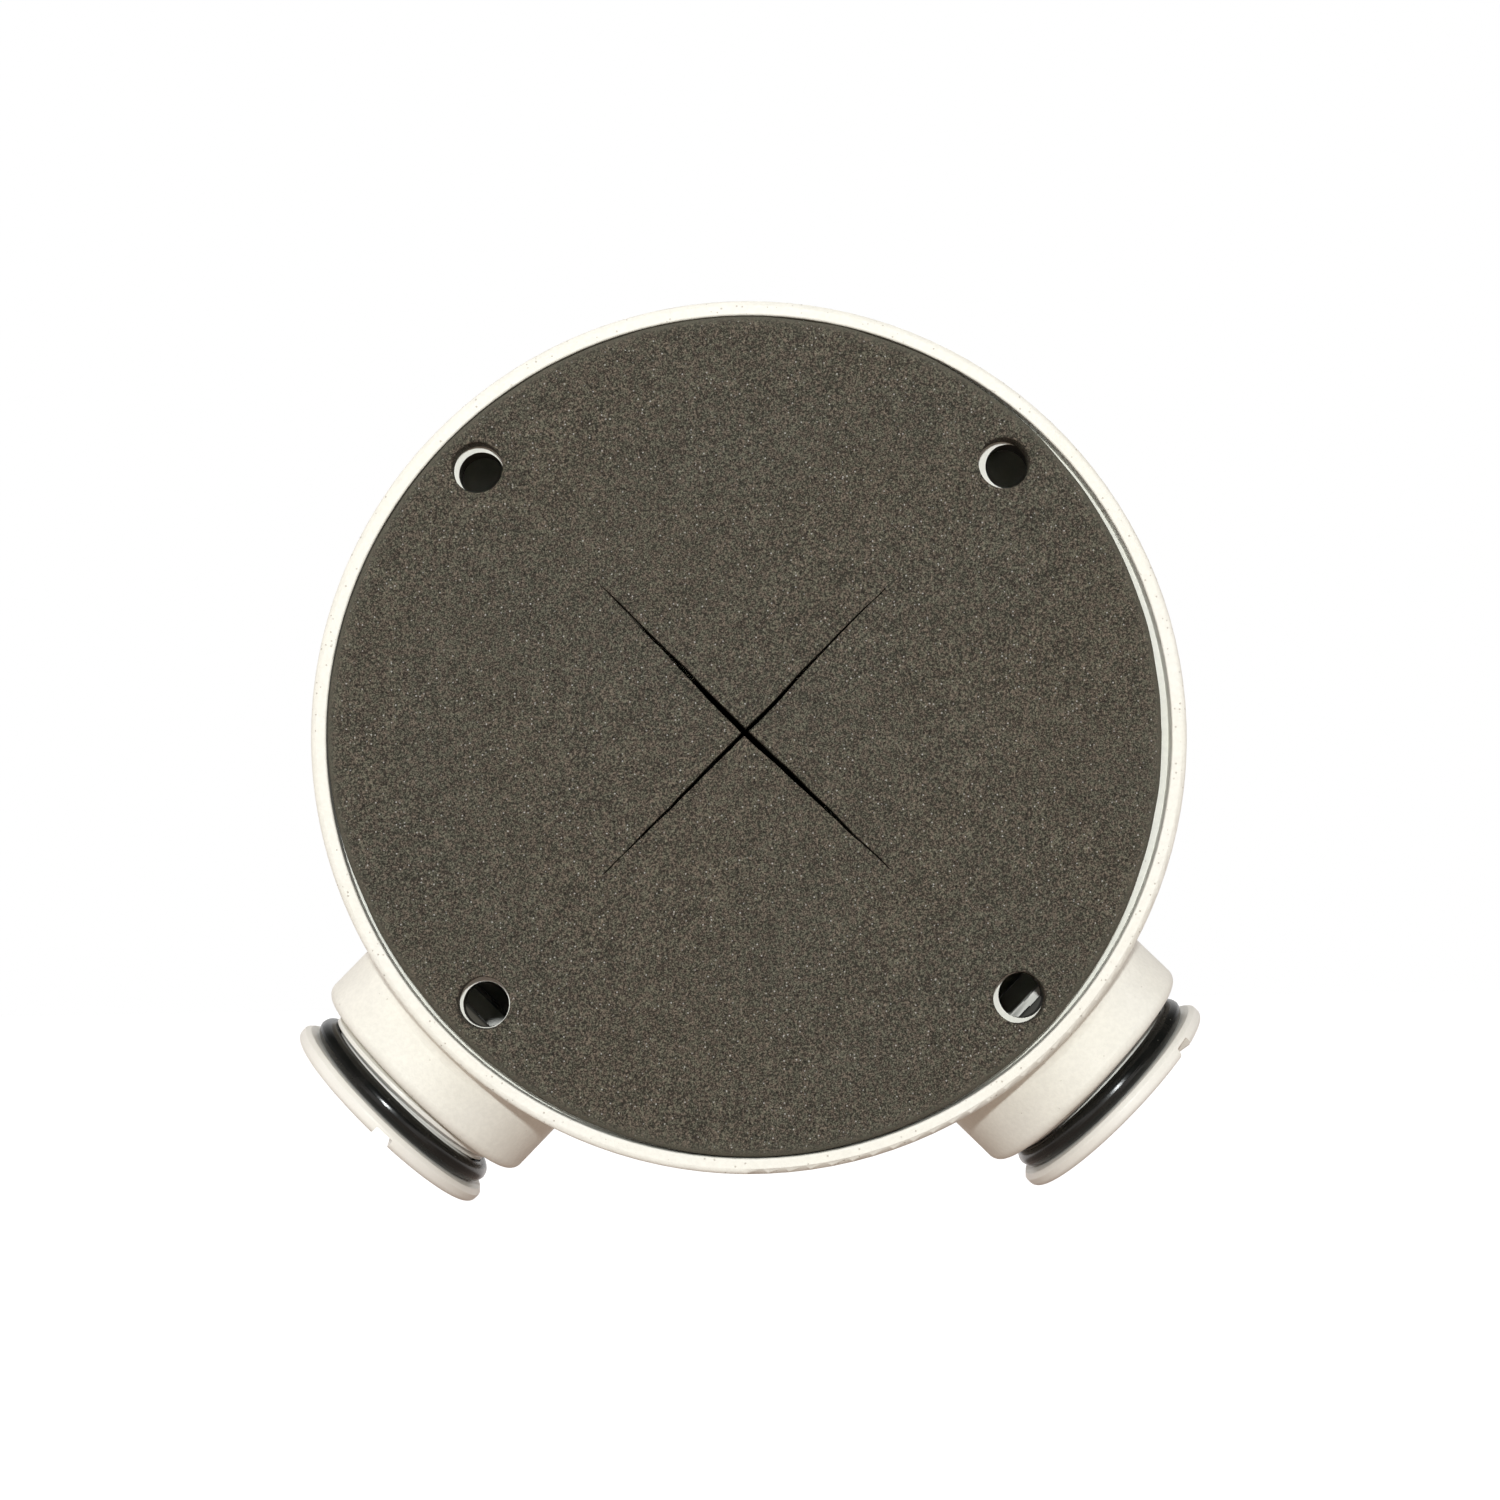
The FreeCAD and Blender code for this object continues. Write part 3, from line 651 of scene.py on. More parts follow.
def turned_metal(name, dark, light, centre, roughness):
    """Machined metal with fine tool rings about the screw's own axis."""
    finish = Finish(name)
    x, _, z = parts_of(finish.tree, finish.moved(centre))
    radius = (x * x + z * z).math("SQRT")
    wobble = finish.cloud(0.9, 3.0, 0.6)
    rings = ((radius + wobble * 0.02 * MM) * (TURN / (0.11 * MM))).math("SINE") * 0.5 + 0.5
    cloud = finish.cloud(1.6, 3.0, 0.6)
    colour = finish.mix(cloud.spread(0.3, 0.7), dark, light)
    colour = finish.scaled(colour, rings.spread(0.0, 1.0, 0.94, 1.03))
    finish.set(metallic=1.0, specular_ior_level=0.5)
    normal = finish.relief(rings, 0.0035)
    normal = finish.relief(wobble, 0.006, normal)
    return finish.wear(colour, cloud.spread(0.3, 0.7, roughness - 0.05, roughness + 0.09), normal)


# ---------------------------------------------------------------- foam gasket


def uneven(distance, seed, wave_mm, depth_mm):
    """Small smooth unevenness of a cut along its length, in metres."""
    return noise.noise(Vector((distance / (wave_mm * MM), seed * 7.31, 0.5))) * depth_mm * MM


def round_hole(middle, radius, count, seed):
    """Punched hole outline, a little out of round, going round clockwise."""
    points = []
    for step in range(count):
        angle = -TURN * step / count
        reach = radius + uneven(math.cos(angle) * 4 * MM, seed, 3.0, 0.05)
        reach += uneven(math.sin(angle) * 4 * MM, seed + 3, 3.0, 0.05)
        points.append(Vector((middle[0] + reach * math.cos(angle), middle[1] + reach * math.sin(angle))))
    return points


def cross_cut():
    """Outline of the knife's cross cut, arm by arm."""
    middle = Vector(SLIT_MIDDLE) * MM
    arms = []
    for number, tip in enumerate(SLIT_TIPS):
        along = Vector(tip) * MM - middle
        arms.append((along.length, along.normalized(), SLIT_HALF_WIDTHS[number] * MM, number))
    points = []
    steps = CROSS_CUT_STEPS
    for length, along, half, number in reversed(arms):
        left = Vector((-along.y, along.x))
        first = SLIT_HALF_WIDTHS[(number + 1) % len(arms)] * MM
        side_points = {1: [], -1: []}
        for sign in (1, -1):
            for step in range(0 if sign == 1 else 1, steps):
                share = (step / steps) ** 0.9
                distance = first + (length - first) * share
                taper = 1 - (distance / length) ** 1.35
                width = SLIT_TIP_HALF_WIDTH * MM + (half - SLIT_TIP_HALF_WIDTH * MM) * taper
                wave = uneven(distance, number * 2 + sign, 3.4, 0.10)
                wave += uneven(distance, number + sign * 5, 1.1, 0.04)
                fade = min(1.0, distance / (2.5 * MM)) * min(1.0, (length - distance) / (1.5 * MM))
                width = max(width + wave * fade, SLIT_TIP_HALF_WIDTH * MM * 0.6)
                drift = uneven(distance, number + 21, 6.5, 0.16) * fade
                side_points[sign].append(middle + along * distance + left * (sign * width + drift))
        tip = middle + along * length
        points += side_points[1] + [tip] + side_points[-1][::-1]
    return points


def offset_outline(points, amount):
    """Outline moved sideways by an amount, to the left of its direction."""
    moved = []
    count = len(points)
    for index, point in enumerate(points):
        before = (point - points[index - 1]).normalized()
        after = (points[(index + 1) % count] - point).normalized()
        normal = Vector((-before.y, before.x)) + Vector((-after.y, after.x))
        if normal.length < 0.2:
            normal = -after + before
        normal.normalize()
        spread = max(0.55, normal.dot(Vector((-before.y, before.x))))
        moved.append(point + normal * amount / spread)
    return moved


def foam_depth(x, z):
    """How far the soft face has sunk below its highest place."""
    swell = 0.5 + 0.5 * noise.noise(Vector((x / (17 * MM), z / (17 * MM), 3.7)))
    small = 0.5 + 0.5 * noise.noise(Vector((x / (5 * MM), z / (5 * MM), 9.1)))
    return FOAM_SWELL * (0.75 * swell + 0.25 * small)


def foam_reach(angle):
    """How far the disc, pressed in by hand, reaches from the box's axis at an angle."""
    share = angle / TURN * len(FOAM_REACHES)
    first = int(share) % len(FOAM_REACHES)
    before, here, after, beyond = (FOAM_REACHES[(first + step) % len(FOAM_REACHES)] for step in (-1, 0, 1, 2))
    t = share - int(share)
    bend = 2 * before - 5 * here + 4 * after - beyond
    twist = 3 * here - 3 * after + beyond - before
    reach = here + 0.5 * t * (after - before + t * (bend + t * twist))
    return min(reach * MM + uneven(angle * GASKET_R, 77, 5.0, 0.10), FOAM_REACH_LIMIT)


def foam_outlines():
    """The foam's outlines, each with the roll of its edge and the steps of that roll."""
    outer = []
    for step in range(FOAM_EDGE_POINTS):
        angle = TURN * step / FOAM_EDGE_POINTS
        outer.append(Vector((math.cos(angle), math.sin(angle))) * foam_reach(angle))
    outlines = [(outer, FOAM_EDGE_ROLL, 6)]
    for number, hole in enumerate(FOAM_HOLES):
        middle = Vector(hole) * MM
        outlines.append((round_hole(middle, FOAM_HOLE_R, FOAM_HOLE_POINTS, number), FOAM_HOLE_ROLL, 3))
    outlines.append((cross_cut(), FOAM_SLIT_ROLL, 2))
    return outlines


def cut_wall(mesh, points, roll, steps):
    """Wall of the foam along one outline with its rolled edge; gives its loops, the back's first."""
    loops = [[mesh.verts.new((p.x, y, p.y)) for p in points] for y in (GASKET_THICK, roll)]
    for step in range(1, steps + 1):
        angle = math.radians(90 * step / steps)
        inset = roll * (1 - math.cos(angle))
        depth = roll * (1 - math.sin(angle))
        loop = []
        for p in offset_outline(points, inset):
            sunk = foam_depth(p.x, p.y) * step / steps
            loop.append(mesh.verts.new((p.x, depth + sunk, p.y)))
        loops.append(loop)
    bridge(mesh, loops)
    return loops


def foam_side(mesh, loops, swollen):
    """One side of the foam between its loops; the swollen one has points all over."""
    rims = [[Vector((v.co.x, v.co.z)) for v in loop] for loop in loops]
    flat, owners, edges = [], [], []
    for loop, rim in zip(loops, rims):
        first = len(flat)
        flat += rim
        owners += loop
        edges += [(first + i, first + (i + 1) % len(loop)) for i in range(len(loop))]
    if swollen:
        for spot in foam_grid_spots(rims):
            flat.append(spot)
            owners.append(mesh.verts.new((spot.x, foam_depth(spot.x, spot.y), spot.y)))
    corners, _, faces, origins = delaunay_2d_cdt(flat, edges, [], 0, 1e-9)[:4]
    for face in faces:
        middle = sum((corners[i] for i in face), Vector((0, 0))) / len(face)
        if inside(middle, rims[0]) and not any(inside(middle, rim) for rim in rims[1:]):
            verts = [owners[origins[i][0]] for i in face]
            if len(set(verts)) == len(verts):
                mesh.faces.new(verts)


def foam_gasket(material):
    """Foam disc with punched screw holes, a cross cut and a rolled outer edge."""
    random.seed(FOAM_SEED)
    mesh = bmesh.new()
    layer = mesh.verts.layers.float.new("rolled_edge")
    walls = [cut_wall(mesh, *outline) for outline in foam_outlines()]
    outer = walls[0]
    for level, loop in enumerate(outer[1:]):
        for vertex in loop:
            vertex[layer] = 1 - max(0, level - 2) / (len(outer) - 3)
    foam_side(mesh, [wall[-1] for wall in walls], True)
    foam_side(mesh, [wall[0] for wall in walls], False)
    data = closed_mesh(mesh, "foam_gasket")
    smooth_by_angle(data, 48)
    piece = add_piece("foam_gasket", data, material, "box", "foam", "wall_gasket")


def inside(point, outline):
    """Whether a flat point lies inside an outline."""
    odd = False
    before = outline[-1]
    for after in outline:
        if (after.y > point.y) != (before.y > point.y):
            crossing = (before.x - after.x) * (point.y - after.y) / (before.y - after.y) + after.x
            if point.x < crossing:
                odd = not odd
        before = after
    return odd


def foam_grid_spots(rims):
    """Staggered places over the foam's face, clear of its edges."""
    spots = []
    clear = FOAM_GRID * 0.45
    reach = int(GASKET_R / FOAM_GRID) + 2
    tall = FOAM_GRID * math.sqrt(0.75)
    near = [p for rim in rims[1:] for p in rim]
    for row in range(-reach - 8, reach + 9):
        for column in range(-reach, reach + 1):
            shift = 0.5 if row % 2 else 0.0
            x = GASKET_MIDDLE.x + (column + shift + random.uniform(-0.16, 0.16)) * FOAM_GRID
            z = GASKET_MIDDLE.z + (row + random.uniform(-0.16, 0.16)) * tall
            spot = Vector((x, z))
            if math.hypot(x, z) > foam_reach(math.atan2(z, x) % TURN) - FOAM_EDGE_ROLL - clear:
                continue
            if any(inside(spot, rim) for rim in rims[1:]):
                continue
            if any(abs(p.x - x) < clear and abs(p.y - z) < clear for p in near):
                continue
            spots.append(spot)
    return spots


# ---------------------------------------------------------------- plugs, rings and housing threads


def begin_turn(side):
    """Where a plug's thread begins, as a share of a turn about its axis."""
    return (SLOT_TURN[side] + THREAD_BEGIN_FROM_SLOT) / TURN % 1.0


def plug_heights(side):
    """Heights along the axis: shank end, relief, flange underside and face."""
    under = ring_height(side) + RING_TUBE + RING_PLAY
    return under - SHANK_LENGTH, under - 2 * (RING_TUBE + RING_PLAY), under, under + FLANGE_THICK


def crest_height(side):
    """Height of the thread's crest line at the start of its turn count."""
    shank_end = plug_heights(side)[0]
    return shank_end + THREAD_BEGIN_INSET - THREAD_PITCH * begin_turn(side)


def screw_plug(side, tree, material):
    """Hollow threaded plug with a coin slot across its flange."""
    shank_end, relief, under, face = plug_heights(side)
    sleeve = grown(bpy.data.meshes.new("seed"), tree, {
        "Start": shank_end, "End": relief, "Pitch": THREAD_PITCH,
        "Crest Radius": THREAD_CREST_R, "Root Radius": THREAD_ROOT_R,
        "First Radius": HOLLOW_R, "Last Radius": NECK_R,
        "Start Cone Radius": SHANK_TIP_R, "End Cone Radius": 0.0,
        "Crest Height": crest_height(side), "Begin Turn": begin_turn(side),
        "Columns": THREAD_COLUMNS, "Rows Per Pitch": THREAD_ROWS,
        "Crest Share": PLUG_CREST_SHARE, "Flank Share": PLUG_FLANK_SHARE, "Material": material})
    mesh = bmesh.new()
    mesh.from_mesh(sleeve)
    chamfer_r = FLANGE_R - FLANGE_UNDER_CHAMFER
    soft = PLUG_SOFT_EDGE
    outside = [(NECK_R, relief), (NECK_R, under - soft)]
    outside += arc(NECK_R + soft, under - soft, soft, 180, 90, 3)
    outside += [(chamfer_r - soft, under)]
    outside += arc(chamfer_r - soft, under + soft, soft, -90, -45, 2)[1:]
    outside += arc(FLANGE_R - soft * 1.6, under + FLANGE_UNDER_CHAMFER + soft, soft * 1.6, -45, 0, 3)
    outside += arc(FLANGE_R - FLANGE_FACE_ROUND, face - FLANGE_FACE_ROUND, FLANGE_FACE_ROUND, 0, 90, 10)
    outside += [(FLANGE_R * 0.72, face), (FLANGE_R * 0.4, face), (0.0, face)]
    lathe(mesh, outside, THREAD_COLUMNS)
    web = face - PLUG_WEB
    inner = HOLLOW_ROUND
    hollow = [(0.0, web), (HOLLOW_R - inner, web)]
    hollow += arc(HOLLOW_R - inner, web - inner, inner, 90, 0, 5)[1:]
    hollow += [(HOLLOW_R, (web + shank_end) / 2), (HOLLOW_R, shank_end)]
    lathe(mesh, hollow, THREAD_COLUMNS)
    plug = bpy.data.objects.new("plug", closed_mesh(mesh, "plug"))
    cutter = bpy.data.objects.new("cutter", slot_cutter(side, face))
    for piece in (plug, cutter):
        bpy.context.scene.collection.objects.link(piece)
    cut = plug.modifiers.new("coin_slot", "BOOLEAN")
    cut.object = cutter
    cut.solver = "EXACT"
    view = bpy.context.evaluated_depsgraph_get()
    data = bpy.data.meshes.new_from_object(plug.evaluated_get(view), depsgraph=view)
    for piece in (plug, cutter):
        bpy.data.objects.remove(piece)
    data.transform(conduit_place(side))
    smooth_by_angle(data, 32)
    add_piece(side + "_screw_plug", data, material, side + "_plug_body", "plug_plastic", side + "_plug")


def slot_cutter(side, face):
    """Bar that leaves the coin slot, flared at the flange's face."""
    half = SLOT_WIDTH / 2
    long = FLANGE_R * 1.2
    floor = face - SLOT_DEPTH
    soft = SLOT_FLOOR_ROUND
    section = [(-half + soft, floor), (half - soft, floor)]
    section += arc(half - soft, floor + soft, soft, -90, 0, 4)[1:]
    section += [(half, face - SLOT_FLARE), (half + SLOT_FLARE, face), (half + SLOT_FLARE, face + 1 * MM)]
    mirrored = [(-x, z) for x, z in reversed(section)]
    outline = section + mirrored
    mesh = bmesh.new()
    ends = [[mesh.verts.new((x, y, z)) for y, z in outline] for x in (-long, long)]
    bridge(mesh, ends)
    for end in ends:
        mesh.faces.new(end)
    mesh.transform(Matrix.Rotation(SLOT_TURN[side], 4, "Z"))
    return closed_mesh(mesh, "slot_cutter", 0.0002 * MM)


def housing_thread(side, tree, material):
    """Inside thread of a conduit entry, meshing with the plug's."""
    mouth = BOSS_END - BORE_CHAMFER
    sleeve = grown(bpy.data.meshes.new("seed"), tree, {
        "Start": COLLAR_FACE, "End": mouth, "Pitch": THREAD_PITCH,
        "Crest Radius": THREAD_CREST_R + THREAD_FIT, "Root Radius": THREAD_ROOT_R + THREAD_FIT,
        "First Radius": COLLAR_R - COLLAR_ROUND, "Last Radius": LINER_R,
        "Start Cone Radius": 1.0, "End Cone Radius": BORE_R - THREAD_FIT / 2,
        "Crest Height": crest_height(side), "Begin Turn": -50.0,
        "Columns": THREAD_COLUMNS, "Rows Per Pitch": THREAD_ROWS,
        "Crest Share": BORE_CREST_SHARE, "Flank Share": BORE_FLANK_SHARE, "Material": material})
    mesh = bmesh.new()
    mesh.from_mesh(sleeve)
    corner = arc(COLLAR_R - COLLAR_ROUND, COLLAR_FACE + COLLAR_ROUND, COLLAR_ROUND, -90, 0, 4)
    outside = [(COLLAR_R, BORE_INNER_END), (LINER_R, BORE_INNER_END), (LINER_R, mouth)]
    lathe(mesh, corner + outside, THREAD_COLUMNS)
    data = closed_mesh(mesh, "liner")
    data.transform(conduit_place(side))
    smooth_by_angle(data, 40)
    add_piece(side + "_conduit_thread", data, material, "box", "cast_shell")


def seal_ring(side, material):
    """Moulded O-ring with a faint parting line."""
    mesh = bmesh.new()
    angles = [TURN * step / RING_SECTION for step in range(RING_SECTION)]
    angles += [seam + shift for seam in FLASH_SEAMS for shift in FLASH_EXTRA_ANGLES]
    angles = sorted(angle % TURN for angle in angles)
    rows = []
    for step in range(RING_AROUND):
        turn = TURN * step / RING_AROUND
        row = []
        for angle in angles:
            flash = sum(math.exp(-((math.remainder(angle - seam, TURN) / FLASH_WIDTH) ** 2))
                        for seam in FLASH_SEAMS)
            tube = RING_TUBE + FLASH_HEIGHT * flash - FLASH_HEIGHT
            reach = RING_R + tube * math.cos(angle)
            row.append(mesh.verts.new((reach * math.cos(turn), reach * math.sin(turn), tube * math.sin(angle))))
        rows.append(row)
    count = len(angles)
    for step in range(RING_AROUND):
        near, far = rows[step], rows[(step + 1) % RING_AROUND]
        for index in range(count):
            after = (index + 1) % count
            mesh.faces.new((near[index], far[index], far[after], near[after]))
    mesh.transform(conduit_place(side) @ Matrix.Translation((0, 0, ring_height(side))))
    data = closed_mesh(mesh, "ring")
    smooth_by_angle(data, 60)
    add_piece(side + "_seal_ring", data, material, side + "_seal_ring_body", "seal_rubber",
              side + "_plug_seal_ring")


# ---------------------------------------------------------------- fasteners

SCREW_R = 2.0 * MM
SCREW_PITCH = 0.7 * MM
SCREW_ROOT_R = 1.57 * MM
SCREW_COLUMNS = 36
SCREW_ROWS = 10
SCREW_CREST_SHARE, SCREW_FLANK_SHARE = 0.12, 0.85
HEAD_R = 3.6 * MM
HEAD_HEIGHT = 2.2 * MM
HEAD_ROUND = 0.8 * MM
HEAD_SOFT_EDGE = 0.15 * MM
SOCKET = 2.5 * MM
SOCKET_DEPTH = 1.3 * MM
COVER_SCREW_THREADED = 8.6 * MM
GROUND_SCREW_THREADED = 3.6 * MM
WASHER_HOLE_R = 2.05 * MM
WASHER_SOFT_EDGE = 0.1 * MM
WASHER_COLUMNS = 64
COVER_SCREWS = 4
FASTENER_SMOOTHING = 35
ALONG_DEPTH = Matrix.Rotation(math.radians(-90), 4, "X")


def button_screw(tree, material, length, threaded):
    """Button head screw with a hexagon socket, head up, seated at the origin."""
    sleeve = grown(bpy.data.meshes.new("seed"), tree, {
        "Start": -length, "End": threaded - length, "Pitch": SCREW_PITCH,
        "Crest Radius": SCREW_R, "Root Radius": SCREW_ROOT_R, "First Radius": 0.0, "Last Radius": SCREW_R,
        "Start Cone Radius": SCREW_ROOT_R - 0.1 * MM, "End Cone Radius": SCREW_R,
        "Crest Height": -length, "Begin Turn": -5.0, "Columns": SCREW_COLUMNS, "Rows Per Pitch": SCREW_ROWS,
        "Crest Share": SCREW_CREST_SHARE, "Flank Share": SCREW_FLANK_SHARE, "Material": material})
    mesh = bmesh.new()
    mesh.from_mesh(sleeve)
    soft = HEAD_SOFT_EDGE
    hexagon = hexagon_radius(SOCKET)
    profile = [(SCREW_R, threaded - length), (SCREW_R, -soft)]
    profile += arc(SCREW_R + soft, -soft, soft, 180, 90, 3)[1:]
    profile += [(HEAD_R - soft, 0.0)] + arc(HEAD_R - soft, soft, soft, -90, 0, 3)[1:]
    profile += arc(HEAD_R - HEAD_ROUND, HEAD_HEIGHT - HEAD_ROUND, HEAD_ROUND, 0, 90, 7)
    profile += [(SOCKET * 0.66, HEAD_HEIGHT), (SOCKET * 0.60, HEAD_HEIGHT - 0.06 * MM)]
    profile += [(hexagon, HEAD_HEIGHT - 0.2 * MM), (hexagon, HEAD_HEIGHT - SOCKET_DEPTH)]
    profile += [(0.0, HEAD_HEIGHT - SOCKET_DEPTH - 0.25 * MM)]
    lathe(mesh, profile, SCREW_COLUMNS)
    mesh.transform(ALONG_DEPTH)
    return closed_mesh(mesh, "screw")


def flat_washer(radius, hole, thick):
    """Flat washer with broken edges, its lower face at the origin."""
    soft = WASHER_SOFT_EDGE
    profile = [(hole, soft), (hole + soft, 0.0), (radius - soft, 0.0)]
    profile += arc(radius - soft, soft, soft, -90, 0, 2)[1:]
    profile += arc(radius - soft, thick - soft, soft, 0, 90, 2)
    profile += [(hole + soft, thick), (hole, thick - soft), (hole, soft)]
    mesh = bmesh.new()
    lathe(mesh, profile, WASHER_COLUMNS)
    mesh.transform(ALONG_DEPTH)
    return closed_mesh(mesh, "washer")


def cover_ring(item, rings, seed, height, name, material, slot, node):
    """One cover fastener repeated round the cover's screw circle."""
    data = grown(item, rings, {"Count": COVER_SCREWS, "Circle Radius": node_middle("cover_screw_1").x,
                               "Seed": seed, "Material": material})
    data.transform(Matrix.Translation((0, height, 0)))
    smooth_by_angle(data, FASTENER_SMOOTHING)
    nodes = ["%s_%d" % (node, number) for number in range(1, COVER_SCREWS + 1)]
    add_piece(name, data, material, "box", slot, *nodes)


def ground_fastener(data, height, name, material, slot, node):
    """The ground screw or its washer, on the housing's ground boss."""
    middle = node_middle("ground_screw")
    data.transform(Matrix.Translation((middle.x, height, middle.z)))
    smooth_by_angle(data, FASTENER_SMOOTHING)
    add_piece(name, data, material, "box", slot, node)


def fasteners(threads, rings, steel, washer_steel, brass):
    """Cover screws and washers round their circle, and the ground screw."""
    low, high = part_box("cover_washer_1")
    screw = button_screw(threads, steel, high.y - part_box("cover_screw_1")[0].y, COVER_SCREW_THREADED)
    cover_ring(screw, rings, 5, high.y, "cover_screws", steel, "screw_steel", "cover_screw")
    washer = flat_washer((high.x - low.x) / 2, WASHER_HOLE_R, high.y - low.y)
    cover_ring(washer, rings, 8, low.y, "cover_washers", washer_steel, "washer_steel", "cover_washer")

    low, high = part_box("ground_washer")
    screw = button_screw(threads, brass, high.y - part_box("ground_screw")[0].y, GROUND_SCREW_THREADED)
    ground_fastener(screw, high.y, "earth_screw", brass, "ground_brass", "ground_screw")
    washer = flat_washer((high.x - low.x) / 2, WASHER_HOLE_R, high.y - low.y)
    ground_fastener(washer, low.y, "earth_washer", washer_steel, "washer_steel", "ground_washer")


# ---------------------------------------------------------------- build the pieces

cast = powder_coat("powder_coat_shell", True)
cast_cover = powder_coat("powder_coat_cover", False)
foam = foam_rubber()
nylon = moulded_nylon("white_nylon", (0.850, 0.838, 0.770), (0.880, 0.872, 0.812), 0.36)
clip_nylon = moulded_nylon("clip_nylon", (0.66, 0.66, 0.62), (0.72, 0.72, 0.68), 0.40)
rubber = ring_rubber()
screw_steel = turned_metal("screw_steel", (0.42, 0.42, 0.41), (0.54, 0.54, 0.53), (0, 0, 0), 0.26)
washer_steel = turned_metal("washer_steel", (0.44, 0.44, 0.43), (0.56, 0.56, 0.55), (0, 0, 0), 0.30)
brass = turned_metal("plain_brass", (0.52, 0.36, 0.13), (0.62, 0.45, 0.18),
                     tuple(node_middle("ground_screw")), 0.28)

dress("housing", cast)
dress("cover_plate", cast_cover)
dress("cover_seal", matte_rubber())
for number in range(1, COVER_SCREWS + 1):
    dress("cover_screw_clip_%d" % number, clip_nylon)

foam_gasket(foam)
threads = thread_tree()
fastener_rings = fastener_ring_tree()
for side in SIDES:
    screw_plug(side, threads, nylon)
    housing_thread(side, threads, cast)
    seal_ring(side, rubber)
fasteners(threads, fastener_rings, screw_steel, washer_steel, brass)

# ---------------------------------------------------------------- floor, light and camera

WHITE = (1.0, 1.0, 1.0)
CAMERA_RAYS = ("Is Camera Ray",)
CLEAR_SIGHT_RAYS = CAMERA_RAYS + ("Is Glossy Ray", "Is Transmission Ray")

# Key lamp, behind and above the camera
KEY_PLACE = (-0.010, -0.500, 0.080)
KEY_AIM = (0, 0.01, 0)
KEY_SIZE = 0.024
KEY_POWER = 1.83
KEY_TINT = (0.93, 0.965, 0.97)

# Soft light of the room, stronger from the left
LIGHT_LEFT = 1.30
LIGHT_RIGHT = 0.98
LIGHT_ABOVE = 0.36
LIGHT_TINT = (1.0, 0.93, 0.90)

# What gloss mirrors: a dark room on the camera's side, white beyond the box, a pale left wall
DARK_ROOM = 0.03
WHITE_FROM, WHITE_TO = 0.40, 0.95
LEFT_WALL = 0.16
LEFT_WALL_END = -0.4

# Floor: it glows white where it is seen, less so near the box
FLOOR_Z = -0.26
FLOOR_HALF = 6.0
FLOOR_PAINT = (0.35, 0.35, 0.35)
FLOOR_BOUNCE = (0.38, 0.31, 0.27)
GLOW_NEAR, GLOW_FAR = 0.04, 0.88
GLOW_FROM, GLOW_TO = 0.46, 0.68
HORIZON_GLOW = 0.06
HORIZON_FROM, HORIZON_TO = 0.7, 2.4

# Dark disc past the cover's cable hole: a sheet of painted shade that also darkens the box's inside
BACKING_R = 14.5 * MM
BACKING_Y = 45.4 * MM
BACKING_CORNERS = 64
BACKING_TONE = (0.01, 0.01, 0.01, 1)

# Camera fitted to the photo: place in mm, turns in radians
CAMERA_PLACE = (-2.46, -280.0, -22.54)
CAMERA_YAW, CAMERA_PITCH, CAMERA_ROLL = -0.0088, 0.0721, -0.0169
CAMERA_LENS = 55.38
CAMERA_SENSOR = 36.0
CAMERA_NEAR, CAMERA_FAR = 0.02, 50.0


def seen_directly(tree, kinds=CLEAR_SIGHT_RAYS):
    """One for rays of the given kinds, and nought for the rest."""
    rays = tree.nodes.new("ShaderNodeLightPath")
    seen = Amount(tree, rays.outputs[kinds[0]])
    for kind in kinds[1:]:
        seen = seen.math("MAXIMUM", Amount(tree, rays.outputs[kind]))
    return seen


def white_surroundings():
    """White backdrop where it is seen, a darker room behind the camera, and soft fill light."""
    world = bpy.data.worlds.new("studio")
    bpy.context.scene.world = world
    world.use_nodes = True
    tree = world.node_tree
    sky = next(node for node in tree.nodes if node.type == "BACKGROUND")
    way = tree.nodes.new("ShaderNodeTexCoord")
    across, away, up = parts_of(tree, way.outputs["Generated"])
    shown = away.spread(WHITE_FROM, WHITE_TO, DARK_ROOM, 1.0)
    shown = shown + across.spread(-1.0, LEFT_WALL_END, LEFT_WALL, 0.0)
    shown = shown.math("MAXIMUM", seen_directly(tree, CAMERA_RAYS))
    ambient = across.spread(-1.0, 0.0, LIGHT_LEFT, 0.0, False)
    ambient = ambient + across.spread(0.0, 1.0, 0.0, LIGHT_RIGHT, False)
    ambient = ambient + up.spread(0.0, 1.0, 0.0, LIGHT_ABOVE, False)
    seen = seen_directly(tree)
    feed(tree, seen * (shown - ambient) + ambient, sky.inputs["Strength"])
    tree.links.new(blended(tree, seen, LIGHT_TINT, WHITE), sky.inputs["Color"])


def staged_sheet(name, corners, material):
    """Flat face that belongs to the stage and not to the box."""
    mesh = bmesh.new()
    mesh.faces.new([mesh.verts.new(corner) for corner in corners])
    data = bpy.data.meshes.new(name)
    mesh.to_mesh(data)
    mesh.free()
    sheet = bpy.data.objects.new(name, data)
    bpy.context.scene.collection.objects.link(sheet)
    data.materials.append(material)


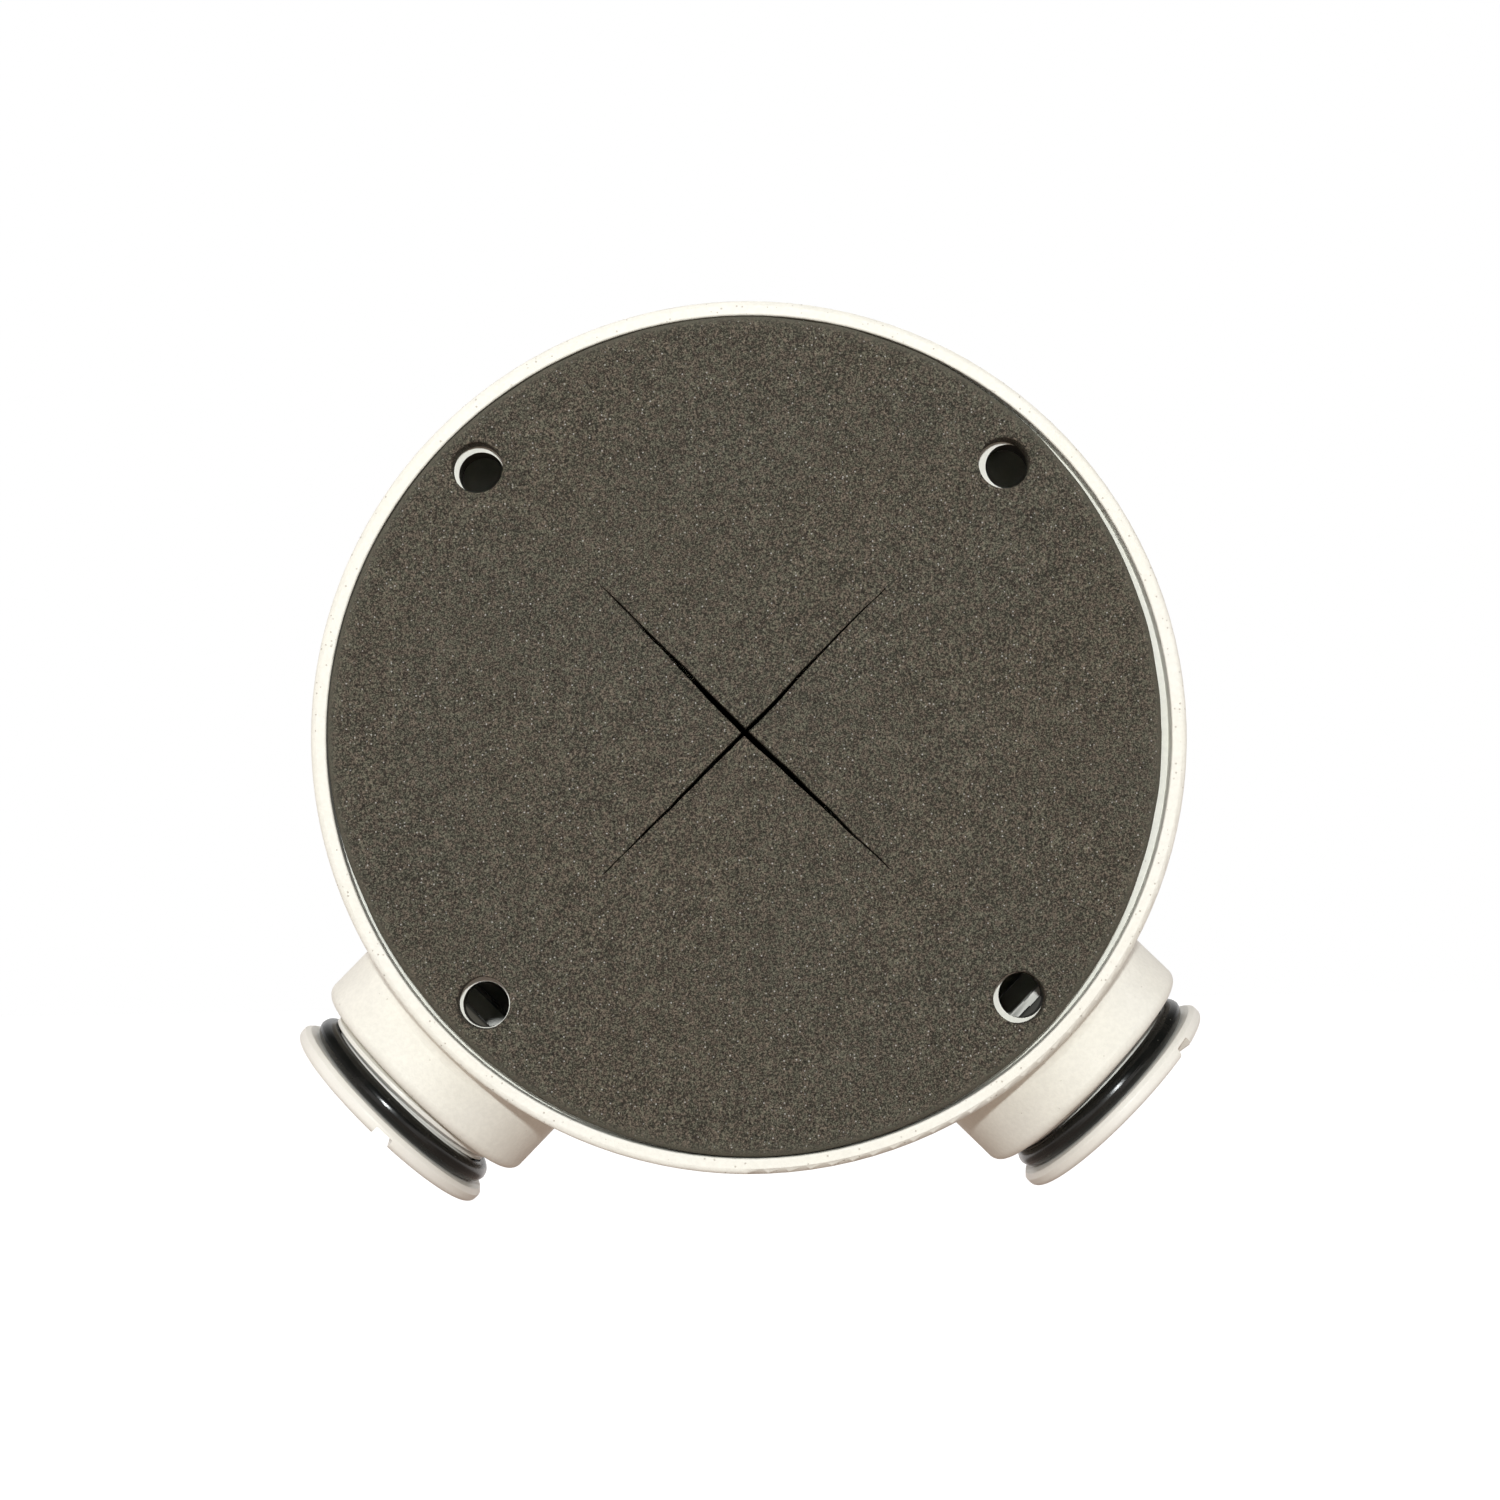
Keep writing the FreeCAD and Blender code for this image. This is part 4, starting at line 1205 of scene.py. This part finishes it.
def pale_floor():
    """Wide pale floor well below the box, which keeps its shadow."""
    material, tree, surface = empty_material("pale_floor")
    paint = tree.nodes.new("ShaderNodeBsdfDiffuse")
    tone = blended(tree, seen_directly(tree, CAMERA_RAYS), FLOOR_BOUNCE, FLOOR_PAINT)
    tree.links.new(tone, paint.inputs["Color"])
    place = tree.nodes.new("ShaderNodeTexCoord")
    x, y, _ = parts_of(tree, place.outputs["Object"])
    away = (x * x + y * y).math("SQRT")
    glowing = away.spread(GLOW_FROM, GLOW_TO, GLOW_NEAR, GLOW_FAR)
    glowing = glowing + away.spread(HORIZON_FROM, HORIZON_TO, 0.0, HORIZON_GLOW)
    glow = tree.nodes.new("ShaderNodeEmission")
    feed(tree, seen_directly(tree) * glowing, glow.inputs["Strength"])
    both = tree.nodes.new("ShaderNodeAddShader")
    tree.links.new(paint.outputs[0], both.inputs[0])
    tree.links.new(glow.outputs[0], both.inputs[1])
    tree.links.new(both.outputs[0], surface)
    corners = [(x * FLOOR_HALF, y * FLOOR_HALF, FLOOR_Z) for x, y in ((-1, -1), (1, -1), (1, 1), (-1, 1))]
    staged_sheet("floor", corners, material)


def painted_shade_disc():
    """Dark disc past the cover's cable hole, clear when seen from the cover side; its dark colour is painted
    shade, and it also shades the box's inside.
    """
    material, tree, surface = empty_material("painted_shade_disc")
    dark = tree.nodes.new("ShaderNodeBsdfDiffuse")
    dark.inputs["Color"].default_value = BACKING_TONE
    clear = tree.nodes.new("ShaderNodeBsdfTransparent")
    side = tree.nodes.new("ShaderNodeNewGeometry")
    either = tree.nodes.new("ShaderNodeMixShader")
    tree.links.new(side.outputs["Backfacing"], either.inputs[0])
    tree.links.new(dark.outputs[0], either.inputs[1])
    tree.links.new(clear.outputs[0], either.inputs[2])
    tree.links.new(either.outputs[0], surface)
    angles = [TURN * step / BACKING_CORNERS for step in range(BACKING_CORNERS)]
    corners = [(BACKING_R * math.cos(angle), BACKING_Y, BACKING_R * math.sin(angle)) for angle in angles]
    staged_sheet("backing", corners, material)


def key_lamp():
    """Small round lamp aimed at the box."""
    data = bpy.data.lights.new("key_lamp", "AREA")
    data.shape = "DISK"
    data.size = KEY_SIZE
    data.energy = KEY_POWER
    data.color = KEY_TINT
    item = bpy.data.objects.new("key_lamp", data)
    bpy.context.scene.collection.objects.link(item)
    item.location = KEY_PLACE
    item.rotation_euler = (Vector(KEY_AIM) - Vector(KEY_PLACE)).to_track_quat("-Z", "Y").to_euler()


def camera():
    """Camera before the wall side, a little below the middle and looking slightly up."""
    data = bpy.data.cameras.new("view")
    data.lens = CAMERA_LENS
    data.sensor_width = CAMERA_SENSOR
    data.clip_start = CAMERA_NEAR
    data.clip_end = CAMERA_FAR
    item = bpy.data.objects.new("view", data)
    bpy.context.scene.collection.objects.link(item)
    item.location = Vector(CAMERA_PLACE) * MM
    facing = Matrix.Rotation(CAMERA_YAW, 3, "Z") @ Matrix.Rotation(math.radians(90) + CAMERA_PITCH, 3, "X")
    item.rotation_euler = (facing @ Matrix.Rotation(CAMERA_ROLL, 3, "Z")).to_euler()
    bpy.context.scene.camera = item


white_surroundings()
pale_floor()
painted_shade_disc()
key_lamp()
camera()
bpy.context.scene.view_settings.view_transform = "Standard"
